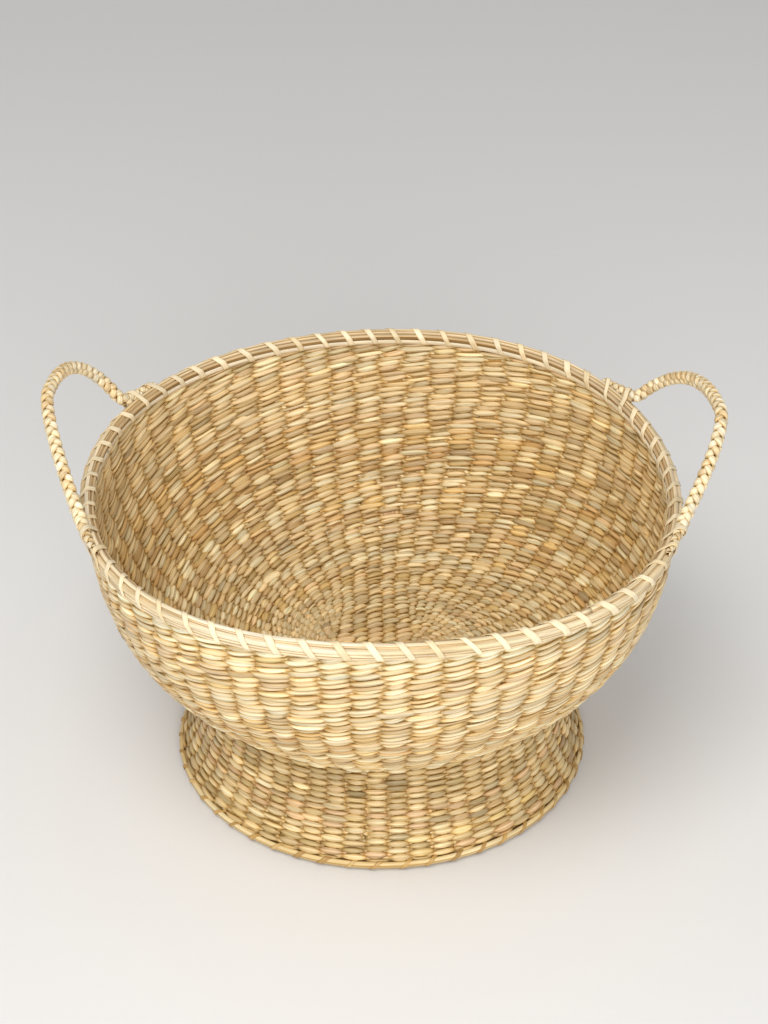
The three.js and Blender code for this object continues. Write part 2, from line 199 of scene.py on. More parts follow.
class NodeSheet:
    """Adds nodes to one material and links them."""

    def __init__(self, material: bpy.types.Material) -> None:
        """Starts from a material's own node tree."""
        material.use_nodes = True
        self.tree = material.node_tree
        self.shader = self.tree.nodes["Principled BSDF"]

    def add(self, kind: str, **settings: object) -> bpy.types.Node:
        """Adds a node and sets its properties."""
        node = self.tree.nodes.new(kind)
        for name, value in settings.items():
            setattr(node, name, value)
        return node

    def feed(self, socket: bpy.types.NodeSocket, source: object) -> None:
        """Gives a socket a value, or links another node's output to it."""
        if isinstance(source, bpy.types.NodeSocket):
            self.tree.links.new(source, socket)
        else:
            socket.default_value = source

    def noise(self, place: bpy.types.NodeSocket, scale: tuple, detail: float) -> bpy.types.NodeSocket:
        """Noise that is stretched along a strand.

        Args:
            place: the vector that says where on the strand a point is.
            scale: how fine the noise is along, across and through the strand, per metre.
            detail: how many finer layers it has.

        Returns:
            The noise's value, about 0.5 on average.
        """
        stretch = self.add("ShaderNodeVectorMath", operation="MULTIPLY")
        self.feed(stretch.inputs[0], place)
        self.feed(stretch.inputs[1], scale)
        noise = self.add("ShaderNodeTexNoise")
        self.feed(noise.inputs["Vector"], stretch.outputs[0])
        self.feed(noise.inputs["Scale"], 1.0)
        self.feed(noise.inputs["Detail"], detail)
        return noise.outputs["Fac"]

    def ramp(self, value: bpy.types.NodeSocket, span: tuple, result: tuple) -> bpy.types.NodeSocket:
        """A value of one span turned into the matching value of another.

        Args:
            value: the number to turn.
            span: the two values that it goes between.
            result: what these two become.

        Returns:
            The turned number, held between the two results.
        """
        node = self.add("ShaderNodeMapRange")
        self.feed(node.inputs["Value"], value)
        for name, number in zip(("From Min", "From Max", "To Min", "To Max"), (*span, *result)):
            self.feed(node.inputs[name], number)
        return node.outputs["Result"]


@dataclass(frozen=True)
class StrawFinish:
    """Dry plant strands: their colours, their fibres and their shine."""

    name: str
    tints: tuple[StrawTint, ...]
    strand_spread: float = 0.06
    stitch_spread: float = 0.115
    odd_stitches: float = 0.05
    fibre_depth: float = 0.38
    fibre_bump: float = 0.4
    stain: float = 0.35
    dullest: float = 0.54
    shiniest: float = 0.33
    tip_share: float = 0.6
    fibre_scale: tuple[float, float, float] = (40.0, 1100.0, 700.0)
    fibre_detail: float = 3.0
    fibre_span: tuple[float, float] = (0.3, 0.7)
    bump_distance: float = 0.0003
    stain_scale: tuple[float, float, float] = (60.0, 260.0, 260.0)
    stain_detail: float = 2.0
    stain_span: tuple[float, float] = (0.52, 0.78)
    stain_colour: tuple[float, float, float] = (0.86, 0.72, 0.52)

    def pick(self, rng: np.random.Generator, count: int) -> Array:
        """Colours for a number of strands, chosen by how often each tint comes."""
        shares = np.array([tint.share for tint in self.tints])
        palette = np.array([linear(tint.red, tint.green, tint.blue) for tint in self.tints])
        chosen = palette[rng.choice(len(palette), size=count, p=shares / shares.sum())]
        return chosen * (1 + self.strand_spread * rng.standard_normal((count, 1)))

    def material(self) -> bpy.types.Material:
        """The finish as a material: tinted by strand, with fibres, stains and a satin shine.

        Returns:
            The material, made once and then used again.
        """
        own_name = f"{self.name}_strands"
        known = bpy.data.materials.get(own_name)
        if known is not None:
            return known
        made = bpy.data.materials.new(own_name)
        sheet = NodeSheet(made)
        tint = sheet.add("ShaderNodeAttribute", attribute_name=TINT).outputs["Color"]
        place = sheet.add("ShaderNodeAttribute", attribute_name=LAY).outputs["Vector"]
        fibre = sheet.noise(place, self.fibre_scale, self.fibre_detail)
        stain = sheet.noise(place, self.stain_scale, self.stain_detail)
        shade = sheet.ramp(fibre, self.fibre_span, (1 - self.fibre_depth, 1 + self.fibre_depth / 2))
        shaded = sheet.add("ShaderNodeVectorMath", operation="SCALE")
        sheet.feed(shaded.inputs[0], tint)
        sheet.feed(shaded.inputs["Scale"], shade)
        stained = sheet.add("ShaderNodeVectorMath", operation="MULTIPLY")
        sheet.feed(stained.inputs[0], shaded.outputs[0])
        sheet.feed(stained.inputs[1], self.stain_colour)
        mix = sheet.add("ShaderNodeMix", data_type="RGBA")
        sheet.feed(mix.inputs[0], sheet.ramp(stain, self.stain_span, (0.0, self.stain)))
        sheet.feed(mix.inputs[6], shaded.outputs[0])
        sheet.feed(mix.inputs[7], stained.outputs[0])
        sheet.feed(sheet.shader.inputs["Base Color"], mix.outputs[2])
        roughness = sheet.ramp(fibre, self.fibre_span, (self.dullest, self.shiniest))
        sheet.feed(sheet.shader.inputs["Roughness"], roughness)
        bump = sheet.add("ShaderNodeBump")
        sheet.feed(bump.inputs["Strength"], self.fibre_bump)
        sheet.feed(bump.inputs["Distance"], self.bump_distance)
        sheet.feed(bump.inputs["Height"], fibre)
        sheet.feed(sheet.shader.inputs["Normal"], bump.outputs["Normal"])
        return made


BOWL_STRAW = StrawFinish(
    "bowl_straw",
    (
        StrawTint(243, 220, 175, 0.42),
        StrawTint(249, 235, 200, 0.22),
        StrawTint(234, 205, 163, 0.12),
        StrawTint(231, 201, 142, 0.09),
        StrawTint(214, 190, 134, 0.03),
        StrawTint(214, 176, 118, 0.04),
        StrawTint(253, 243, 209, 0.08),
    ),
)
FOOT_STRAW = StrawFinish(
    "foot_straw",
    (
        StrawTint(222, 195, 144, 0.44),
        StrawTint(207, 181, 126, 0.16),
        StrawTint(192, 170, 112, 0.03),
        StrawTint(236, 214, 168, 0.22),
        StrawTint(218, 184, 140, 0.10),
        StrawTint(228, 198, 112, 0.01),
        StrawTint(246, 231, 192, 0.04),
    ),
)
RIM_REED = StrawFinish(
    "rim_reed",
    (StrawTint(231, 209, 169, 0.6), StrawTint(237, 219, 184, 0.25), StrawTint(216, 187, 142, 0.15)),
    fibre_depth=0.32,
    stain=0.25,
    dullest=0.58,
    shiniest=0.38,
)
RIM_STRIP = StrawFinish(
    "rim_strip",
    (StrawTint(240, 223, 189, 0.7), StrawTint(233, 212, 171, 0.3)),
    fibre_depth=0.14,
    stain=0.2,
    dullest=0.55,
    shiniest=0.36,
)
HEM_REED = StrawFinish(
    "hem_reed",
    (StrawTint(235, 213, 166, 0.7), StrawTint(218, 192, 138, 0.3)),
    fibre_depth=0.2,
)
HEM_STRIP = StrawFinish(
    "hem_strip",
    (StrawTint(194, 156, 92, 0.6), StrawTint(178, 140, 80, 0.25), StrawTint(206, 174, 116, 0.15)),
    fibre_depth=0.2,
)
BRAID = StrawFinish(
    "braid",
    (StrawTint(241, 222, 182, 0.55), StrawTint(247, 233, 202, 0.25), StrawTint(228, 200, 152, 0.2)),
)


@dataclass
class Strand:
    """One strand: its middle line, its cross directions, its half sizes and its colour."""

    middle: Array
    across: Array
    out: Array
    half_width: Array
    half_thickness: Array
    tint: Array
    seed: float
    curl: float = 0.0

    @property
    def run(self) -> Array:
        """How far along the strand each ring is."""
        return run_along(self.middle)

    @classmethod
    def along(
        cls,
        middle: Array,
        facing: Array,
        half_width: Array,
        half_thickness: Array,
        tint: Array,
        seed: float,
        curl: float = 0.0,
    ) -> Strand:
        """A strand that follows a line and turns its flat face one way.

        Args:
            middle: the line's points.
            facing: the way that the flat face looks at each point.
            half_width: half the strand's width at each point.
            half_thickness: half its thickness at each point.
            tint: its colour at each point.
            seed: what sets its fibres apart from other strands'.
            curl: how much its flat face bends, as one over the bend's radius.

        Returns:
            The strand, with cross directions square to its line.
        """
        tangent = unit(np.gradient(middle, axis=0))
        across = unit(np.cross(facing, tangent))
        out = np.cross(tangent, across)
        return cls(middle, across, out, half_width, half_thickness, tint, seed, curl)


class StrandMesh:
    """Collects strands and turns them into one mesh with colours, fibre places and a flat map."""

    MAP_ASPECT = 3.0
    MAP_MARGIN = 0.08
    MAP_SLACK = 1.02
    MAP_FILL = 0.995

    def __init__(
        self, corners: int, roundness: float, edge_shade: float = 0.0, edge_power: float = 3.0
    ) -> None:
        """Sets the strands' section.

        Args:
            corners: how many corners a ring has.
            roundness: 1 for an ellipse, and lower for a fuller section.
            edge_shade: how much darker a strand's two edges are than its middle.
            edge_power: how close to its edges the shade keeps.
        """
        turn = TURN * np.arange(corners) / corners
        self.section = np.stack(
            [
                np.sign(np.cos(turn)) * np.abs(np.cos(turn)) ** roundness,
                np.sign(np.sin(turn)) * np.abs(np.sin(turn)) ** roundness,
            ],
            axis=-1,
        )
        self.shade = 1 - edge_shade * np.abs(self.section[:, 0]) ** edge_power
        self.strands: list[Strand] = []

    def add(self, strand: Strand) -> None:
        """Takes one more strand."""
        self.strands.append(strand)

    def rings(self, strand: Strand) -> tuple[Array, Array]:
        """The corners of a strand's rings.

        Args:
            strand: the strand.

        Returns:
            Each corner's place, and where it is on the strand: along it, across it and through it.
        """
        wide = strand.half_width[:, None] * self.section[None, :, 0]
        thick = strand.half_thickness[:, None] * self.section[None, :, 1]
        bent = thick - strand.curl * wide**2 / 2
        corners = (
            strand.middle[:, None, :]
            + wide[..., None] * strand.across[:, None, :]
            + bent[..., None] * strand.out[:, None, :]
        )
        run = np.broadcast_to(strand.run[:, None] + strand.seed, wide.shape)
        return corners, np.stack([run, wide, thick], axis=-1)

    def strips(self) -> list[tuple[Array, Array]]:
        """Places each strand as a strip of the flat map, row after row.

        Returns:
            For each strand, the map's u at each ring and its v at each corner round a ring.
        """
        lengths = np.array([strand.run[-1] for strand in self.strands])
        girth = np.mean([4 * float(strand.half_width.mean()) for strand in self.strands])
        even_length = math.sqrt(lengths.sum() * girth * self.MAP_ASPECT)
        row_length = max(lengths.max(), even_length) * self.MAP_SLACK
        row, used = 0, 0.0
        spots = []
        for length in lengths:
            if used + length > row_length:
                row, used = row + 1, 0.0
            spots.append((row, used))
            used += length
        rows = row + 1
        around = np.linspace(self.MAP_MARGIN, 1 - self.MAP_MARGIN, len(self.section) + 1)
        return [
            ((start + strand.run * self.MAP_FILL) / row_length, (line + around) / rows)
            for strand, (line, start) in zip(self.strands, spots)
        ]

    def build(self, name: str, finish: StrawFinish) -> bpy.types.Object:
        """Makes the mesh object and gives it its finish.

        Args:
            name: the piece's name.
            finish: what it is made of.

        Returns:
            The object, in the scene.
        """
        sides = len(self.section)
        points, lays, tints, quads, caps, maps = [], [], [], [], [], []
        first = 0
        for strand, (u, v) in zip(self.strands, self.strips()):
            corners, lay = self.rings(strand)
            count = len(corners)
            points.append(corners.reshape(-1, 3))
            lays.append(lay.reshape(-1, 3))
            tints.append(browned(strand.tint[:, None, :], self.shade[None, :]).reshape(-1, 3))
            ring = first + sides * np.arange(count - 1)[:, None]
            here = np.arange(sides)[None, :]
            beside = (here + 1) % sides
            ahead = ring + sides
            quads.append(np.stack([ring + here, ring + beside, ahead + beside, ahead + here], -1))
            across = np.broadcast_to(np.stack([v[:-1], v[1:], v[1:], v[:-1]], -1), (count - 1, sides, 4))
            along = np.stack([u[:-1], u[:-1], u[1:], u[1:]], -1)[:, None, :]
            maps.append(np.stack([np.broadcast_to(along, across.shape), across], -1).reshape(-1, 2))
            caps.append(first + np.arange(sides)[::-1])
            caps.append(first + sides * (count - 1) + np.arange(sides))
            maps.append(np.stack([np.full(sides, u[0]), v[:-1]], -1))
            maps.append(np.stack([np.full(sides, u[-1]), v[:-1]], -1))
            first += sides * count
        return self._object(name, finish, points, lays, tints, quads, caps, maps)

    def _object(
        self,
        name: str,
        finish: StrawFinish,
        points: list[Array],
        lays: list[Array],
        tints: list[Array],
        quads: list[Array],
        caps: list[Array],
        maps: list[Array],
    ) -> bpy.types.Object:
        """Fills a mesh from the collected arrays.

        Args:
            name: the piece's name.
            finish: what it is made of.
            points: each strand's corners.
            lays: where each corner is on its strand.
            tints: each corner's colour.
            quads: each strand's four-sided faces.
            caps: the faces that close the strands' two ends.
            maps: each strand's map places, for its faces and then for its two ends.

        Returns:
            The object, in the scene.
        """
        sides = len(self.section)
        places = np.concatenate(points)
        corner_lists = []
        sizes = []
        for index, faces in enumerate(quads):
            flat = faces.reshape(-1, 4)
            corner_lists += [flat.ravel(), caps[2 * index], caps[2 * index + 1]]
            sizes += [np.full(len(flat), 4), np.array([sides, sides])]
        loops = np.concatenate(corner_lists)
        counts = np.concatenate(sizes)
        mesh = bpy.data.meshes.new(name)
        mesh.vertices.add(len(places))
        mesh.vertices.foreach_set("co", places.astype(np.float32).ravel())
        mesh.loops.add(len(loops))
        mesh.loops.foreach_set("vertex_index", loops.astype(np.int32))
        mesh.polygons.add(len(counts))
        mesh.polygons.foreach_set("loop_start", (np.cumsum(counts) - counts).astype(np.int32))
        mesh.update(calc_edges=True)
        mesh.polygons.foreach_set("use_smooth", np.ones(len(counts), bool))
        flat_map = mesh.uv_layers.new(name=BAKE_MAP)
        flat_map.data.foreach_set("uv", np.concatenate(maps).astype(np.float32).ravel())
        tint = mesh.attributes.new(TINT, "FLOAT_COLOR", "POINT")
        colours = np.clip(np.concatenate(tints), 0.0, 1.0)
        with_alpha = np.concatenate([colours, np.ones((len(colours), 1))], axis=1)
        tint.data.foreach_set("color", with_alpha.astype(np.float32).ravel())
        lay = mesh.attributes.new(LAY, "FLOAT_VECTOR", "POINT")
        lay.data.foreach_set("vector", np.concatenate(lays).astype(np.float32).ravel())
        mesh.update()
        piece = bpy.data.objects.new(name, mesh)
        bpy.context.scene.collection.objects.link(piece)
        piece.data.materials.append(finish.material())
        log.info("%s: %d strands, %d faces", name, len(self.strands), len(counts))
        return piece


def wander(rng: np.random.Generator, place: Array, step: float, size: float) -> Array:
    """A smooth random wander along a line.

    Args:
        rng: the source of chance.
        place: where on the line each point is.
        step: how far apart the wander's own turns are.
        size: how large it is.

    Returns:
        The wander at each point.
    """
    knots = rng.standard_normal(int(place.max() / step) + 3) * size
    return np.interp(place / step, np.arange(len(knots)), knots)


def splice_lengths(rng: np.random.Generator, stitches: int, shortest: int, longest: int) -> list[int]:
    """How many stitches each strand of a run lasts before the next one is spliced in.

    Args:
        rng: the source of chance.
        stitches: how many stitches the run has.
        shortest: the least that a strand lasts.
        longest: the most.

    Returns:
        The strands' lengths, in stitches.
    """
    lengths = []
    left = stitches
    while left > 0:
        lengths.append(min(left, int(rng.integers(shortest, longest))))
        left -= lengths[-1]
    return lengths


def strand_tints(rng: np.random.Generator, finish: StrawFinish, lengths: list[int]) -> Array:
    """Colours of the stitches along strands that are spliced one after the other.

    Args:
        rng: the source of chance.
        finish: the strands' finish.
        lengths: how many stitches each strand has.

    Returns:
        A colour for each stitch, which drifts from a strand's root to its tip.
    """
    shades = []
    roots = finish.pick(rng, len(lengths))
    tips = finish.pick(rng, len(lengths))
    for count, root, tip in zip(lengths, roots, tips):
        share = finish.tip_share * np.linspace(0, 1, count)[:, None]
        shades.append(root * (1 - share) + tip * share)
    even = np.concatenate(shades)
    odd = rng.random(len(even)) < finish.odd_stitches
    even[odd] = finish.pick(rng, int(odd.sum()))
    return even * (1 + finish.stitch_spread * rng.standard_normal((len(even), 1)))


def browned(tint: Array, shade: Array) -> Array:
    """Colours darkened towards brown, as the shade between straw strands is.

    Args:
        tint: the colours.
        shade: how much light each keeps.

    Returns:
        The darkened colours.
    """
    return tint * shade[..., None] ** BROWNING


def crossing_light(flat: Array, shade: float) -> Array:
    """How much light a strand keeps where it dives between two stakes.

    Args:
        flat: 1 where the strand lies on a stake, and 0 half way to the next one.
        shade: how much darker it is there.

    Returns:
        The share of light at each point.
    """
    return 1 - shade * (1 - flat) ** CROSSING_POWER


@dataclass(frozen=True)
class Splicing:
    """How a run of weaving is cut into strands that lie beside each other where they meet."""

    stitch_steps: int
    half_thickness: float
    overlap: int = 3
    thinnest: float = 0.12
    fullest: float = 0.62

    def cut(
        self,
        rng: np.random.Generator,
        lengths: list[int],
        middle: Array,
        facing: Array,
        width: Array,
        tint: Array,
    ) -> list[Strand]:
        """Cuts a run into strands, thinned at both ends.

        Args:
            rng: the source of chance.
            lengths: how many stitches each strand has.
            middle: the run's line.
            facing: the way out of the wall along it.
            width: half its width along it.
            tint: its colour along it.

        Returns:
            The strands.
        """
        made = []
        start = 0
        for length in lengths:
            end = start + length * self.stitch_steps
            part = slice(max(0, start - self.overlap), end + self.overlap)
            place = np.arange(len(middle[part]))
            ends = np.minimum(place, place[::-1])
            thin = self.thinnest + (1 - self.thinnest) * np.clip(ends / self.overlap, 0, 1)
            wide = width[part]
            thick = np.minimum(self.half_thickness, self.fullest * wide) * thin
            seed = fibre_seed(rng)
            made.append(Strand.along(middle[part], facing[part], wide * thin, thick, tint[part], seed))
            start = end
        return made


@dataclass(frozen=True)
class StartPlan:
    """The rectangle of crossed stakes that the twining starts round, and the fans at its corners.

    Columns are counted round the bowl from the right. Each side of the rectangle keeps its own columns,
    and the stakes of four fans spread from the corners.
    """

    half_wide: float = 0.025
    half_deep: float = 0.012
    wide_columns: int = 5
    deep_columns: int = 3
    fan_columns: int = 12
    shift: float = -0.004

    def marks(self, fan: int) -> Array:
        """Where each side and each fan ends, in stakes, if a fan has a number of stakes."""
        return np.concatenate([[0], np.cumsum([self.deep_columns, fan, self.wide_columns, fan] * 2)])

    def column(self, stake: Array, fan: int) -> Array:
        """The column of a place in a turn whose fans have a number of stakes each."""
        return np.interp(stake, self.marks(fan), self.marks(self.fan_columns)) - self.deep_columns / 2

    def plan(self, beside: Array, column: Array) -> Array:
        """Places on the base.

        Args:
            beside: distances from the rectangle's edge.
            column: columns.

        Returns:
            The places' x and y.
        """
        marks = self.marks(self.fan_columns) - self.deep_columns / 2
        x, y = self.half_wide, self.half_deep
        wide = np.interp(column, marks, [x, x, x, -x, -x, -x, -x, x, x])
        deep = np.interp(column, marks, [-y, y, y, y, y, -y, -y, -y, -y])
        away = np.interp(column, marks, QUARTER * np.array([0, 0, 1, 1, 2, 2, 3, 3, 4]))
        across = wide + self.shift + beside * np.cos(away)
        along = deep + beside * np.sin(away)
        return np.stack([across, along], axis=-1)


@dataclass(frozen=True)
class FanZone:
    """Some turns of the twining, with one number of stakes in each corner's fan."""

    SIDE_STAKES = 16
    FANS = 4

    fan: int
    turns: int

    @property
    def stakes(self) -> int:
        """How many stakes one turn passes."""
        return self.SIDE_STAKES + self.FANS * self.fan


@dataclass
class TwinedBowl:
    """The bowl: 64 stakes, and two strands twined round them from a rectangle in the base to the rim."""

    settling: Settling
    rng: np.random.Generator
    start: StartPlan = StartPlan()
    zones: tuple[FanZone, ...] = (FanZone(1, 1), FanZone(3, 2), FanZone(6, 3))
    rim_radius: float = RIM_RADIUS
    base_radius: float = 0.080
    base_height: float = 0.064
    wall_top: float = 0.19875
    wall_inset: float = 0.001
    curve_steps: int = 2001
    climb_steps: int = 4001
    rounding: tuple[float, float] = (0.030, 0.125)
    stakes: int = STAKES
    stake_share: float = 1.06
    stake_end_width: float = 0.006
    stake_narrowing: tuple[float, float] = (0.003, 0.006)
    stake_thickness: float = 0.001
    stake_top: float = 0.2055
    stake_overlap: float = 0.002
    stake_step: float = 0.004
    start_run: float = 0.020
    first_row: float = 0.0225
    start_pitch: float = 0.0048
    row_pitch: float = 0.0038
    pitch_change: tuple[float, float] = (0.035, 0.11)
    top_overlap: float = 0.0012
    top_thinnest: float = 0.12
    strand_out: float = 0.00125
    strand_fullness: float = 0.57
    strand_half_thickness: float = 0.00105
    crossing_half_width: float = 0.0011
    crossing_slant: float = 0.3
    crossing_shade: float = 0.54
    crossing_shift: float = 0.115
    inner_shade: float = 0.075
    inner_from: float = -0.4
    squareness: float = 0.75
    taper: float = 0.8
    unevenness: float = 0.2
    depth_unevenness: float = 0.7
    straying: float = 0.00042
    strand_stitches: tuple[int, int] = (16, 120)
    stitch_steps: tuple[float, ...] = (0.0, 0.04, 0.1, 0.2, 0.35, 0.5, 0.65, 0.8, 0.9, 0.96)
    cross_splits: int = 3
    cross_reach: float = 0.003
    cross_steps: int = 57
    cross_lift: float = 0.0011
    cross_straying: float = 0.0002
    cross_straying_step: float = 0.01
    cross_share: float = 0.54
    cross_half_thickness: float = 0.0008
    cross_light: float = 0.77
    cross_under_shade: float = 0.2
    bands: int = 8
    table: dict[str, Array] = field(default_factory=dict)

    def __post_init__(self) -> None:
        """Measures the wall's curve from the base to the rim, and the twining's climb along it."""
        tilt = np.linspace(0, QUARTER, self.curve_steps)
        reach = self.rim_radius - self.wall_inset - self.base_radius
        radius = self.base_radius + reach * np.sin(tilt)
        height = self.wall_top - (self.wall_top - self.base_height) * np.cos(tilt)
        steps = np.hypot(np.diff(radius), np.diff(height))
        run = self.base_radius + np.concatenate([[0.0], np.cumsum(steps)])
        self.table = {"run": run, "radius": radius, "height": height}
        climb = np.linspace(self.first_row, self.top_run - self.row_pitch / 2, self.climb_steps)
        per_turn = 1 / self.pitch(climb)
        gained = (per_turn[1:] + per_turn[:-1]) / 2 * np.diff(climb)
        turns = np.concatenate([[0.0], np.cumsum(gained)])
        self.table["climb"] = climb
        self.table["turns"] = turns * round(turns[-1]) / turns[-1]

    @property
    def wall_run(self) -> float:
        """How far the wall's top is from the base's centre, along the wall."""
        return float(self.table["run"][-1])

    @property
    def top_run(self) -> float:
        """How far the last strands reach, up to the rim's reeds."""
        return self.wall_run + self.top_overlap

    def along(self, name: str, run: Array) -> Array:
        """The wall's radius or height at distances from the base's centre along the wall."""
        return np.interp(run, self.table["run"], self.table[name])

    def pitch(self, run: Array) -> Array:
        """How far apart the rows are, which is wider near the base's centre."""
        wider = 1 - smoothstep(*self.pitch_change, run)
        return self.row_pitch + (self.start_pitch - self.row_pitch) * wider

    def surface(self, run: Array, turn: Array) -> Array:
        """Points of the wall's middle.

        Near the centre the rows run round a rectangle with fanned corners, and further out round
        circles.

        Args:
            run: distance from the base's centre along the wall.
            turn: share of a turn, counted in stakes.

        Returns:
            The points.
        """
        edge = self.start.deep_columns / 2
        column = (self.stakes * turn - 0.5 + edge) % self.stakes - edge
        near = self.start.plan(np.maximum(run - self.start_run, 0.0), column)
        ring = run[..., None] * np.stack([np.cos(TURN * turn), np.sin(TURN * turn)], axis=-1)
        share = smoothstep(*self.rounding, run)[..., None]
        flat = near * (1 - share) + ring * share
        angle = np.arctan2(flat[..., 1], flat[..., 0])
        round_share = smoothstep(self.rounding[0], self.base_radius, run)
        round_radius = np.where(run > self.base_radius, self.along("radius", run), run)
        radius = np.hypot(flat[..., 0], flat[..., 1]) * (1 - round_share) + round_radius * round_share
        height = self.along("height", run) + np.maximum(run - self.wall_run, 0.0)
        return self.settling.place(angle, radius, height)

    def facing(self, run: Array, turn: Array) -> Array:
        """The way out of the wall at places on it."""
        return wall_facing(self.surface, run, turn)

    def all_zones(self) -> list[FanZone]:
        """Every zone, with the wall as the last one and one more turn that thins out at the rim."""
        done = sum(zone.turns for zone in self.zones)
        return [*self.zones, FanZone(self.start.fan_columns, round(self.table["turns"][-1]) - done + 1)]

    def spiral(self) -> dict[str, Array]:
        """The line that the pair of strands follows, from the start up to the rim.

        Returns:
            Stitches passed, distance from the centre, share of a turn, how thin the strands are and the
            rows' pitch, at each step.
        """
        share = np.array(self.stitch_steps)
        parts = {"passed": [], "run": [], "turn": [], "thin": [], "pitch": []}
        stitches, turns = 0, 0
        whole = self.table["turns"][-1]
        for zone in self.all_zones():
            here = (np.arange(zone.stakes * zone.turns)[:, None] + share[None, :]).ravel()
            turned = turns + here / zone.stakes
            last = np.clip(turned - whole, 0.0, 1.0)
            climb = np.interp(turned, self.table["turns"], self.table["climb"])
            run = np.where(last > 0, self.top_run - self.row_pitch / 2 * (1 - last), climb)
            column = self.start.column(here % zone.stakes, zone.fan)
            parts["passed"].append(stitches + here)
            parts["run"].append(run)
            parts["turn"].append((column + 0.5) / self.stakes)
            parts["thin"].append(np.maximum(1 - last, self.top_thinnest))
            parts["pitch"].append(self.pitch(run))
            stitches += zone.stakes * zone.turns
            turns += zone.turns
        return {name: np.concatenate(values) for name, values in parts.items()}

    def twining(self) -> list[Strand]:
        """The twined strands, each cut to the length that was spliced in.

        Returns:
            The strands, from the base's centre outwards.
        """
        line = self.spiral()
        stitches = int(line["passed"][-1]) + 1
        pace = line["passed"] + wander(self.rng, line["passed"], step=1.0, size=self.crossing_shift)
        stitch = np.clip(np.floor(pace).astype(int), 0, stitches - 1)
        phase = math.pi * (pace - 0.5)
        splicing = Splicing(len(self.stitch_steps), self.strand_half_thickness)
        made = []
        for pair in (1, -1):
            swing = np.cos(phase) * pair
            flat = np.abs(swing)
            uneven = 1 + self.unevenness * self.rng.standard_normal((stitches, 2))[stitch]
            crossing = self.crossing_slant * line["pitch"] * np.sin(phase) * pair
            stray = wander(self.rng, line["passed"], step=2.0, size=self.straying)
            run = line["run"] + (crossing + stray) * line["thin"]
            bulge = 1 + self.depth_unevenness * (uneven[:, 0] - 1)
            depth = self.strand_out * np.sign(swing) * flat**self.squareness * bulge
            facing = self.facing(run, line["turn"])
            middle = self.surface(run, line["turn"]) + depth[:, None] * facing
            full = self.strand_fullness * line["pitch"] * uneven[:, 1]
            width = self.crossing_half_width + (full - self.crossing_half_width) * flat**self.taper
            width = width * line["thin"]
            lengths = splice_lengths(self.rng, stitches, *self.strand_stitches)
            tint = strand_tints(self.rng, BOWL_STRAW, lengths)[stitch]
            tint = browned(tint, crossing_light(flat, self.crossing_shade))
            tint = browned(tint, 1 - self.inner_shade * smoothstep(0.0, self.inner_from, swing))
            made += splicing.cut(self.rng, lengths, middle, facing, width, tint)
        return made

    def stake_strands(self) -> list[Strand]:
        """The stakes that the strands are twined round, from where each is added up to the rim.

        Returns:
            The stakes.
        """
        made = []
        turns = 0
        top = self.wall_run + self.stake_top - self.wall_top
        last = self.start.fan_columns
        edge = self.start.deep_columns / 2
        for zone in self.all_zones():
            begin, end = np.interp([turns, turns + zone.turns], self.table["turns"], self.table["climb"])
            turns += zone.turns
            stop = top if zone.fan == last else end + self.stake_overlap
            spread = zone.fan / last
            for corner in self.start.marks(last)[1::2]:
                for stake in range(zone.fan):
                    column = corner - edge + (stake + 0.5) / spread
                    made.append(self._stake(column, begin - self.stake_overlap, stop, 1 / spread))
        foot = self.start_run - self.stake_overlap
        counts = (self.start.deep_columns, self.start.wide_columns) * 2
        for first, count in zip(self.start.marks(last)[:-1:2], counts):
            for stake in range(count):
                made.append(self._stake(first - edge + stake + 0.5, foot, top, 1.0))
        return made

    def _stake(self, column: float, start: float, end: float, columns: float) -> Strand:
        """One stake along its column of the weave.

        Args:
            column: which column it stands in.
            start: where it starts, from the base's centre.
            end: where it ends.
            columns: how many columns' room it has.

        Returns:
            The stake.
        """
        count = max(4, int((end - start) / self.stake_step))
        run = np.linspace(start, end, count)
        turn = np.full(count, (column + 0.5) / self.stakes)
        side = 0.5 * columns / self.stakes
        room = np.linalg.norm(self.surface(run, turn + side) - self.surface(run, turn - side), axis=1)
        narrow = smoothstep(*self.stake_narrowing, run - self.wall_run)
        width = self.stake_share * room * (1 - narrow) + self.stake_end_width * narrow
        tint = browned(BOWL_STRAW.pick(self.rng, 1), np.array([STAKE_LIGHT]))
        return Strand.along(
            self.surface(run, turn),
            self.facing(run, turn),
            width / 2,
            np.full(count, self.stake_thickness / 2),
            np.repeat(tint, count, axis=0),
            fibre_seed(self.rng),
        )

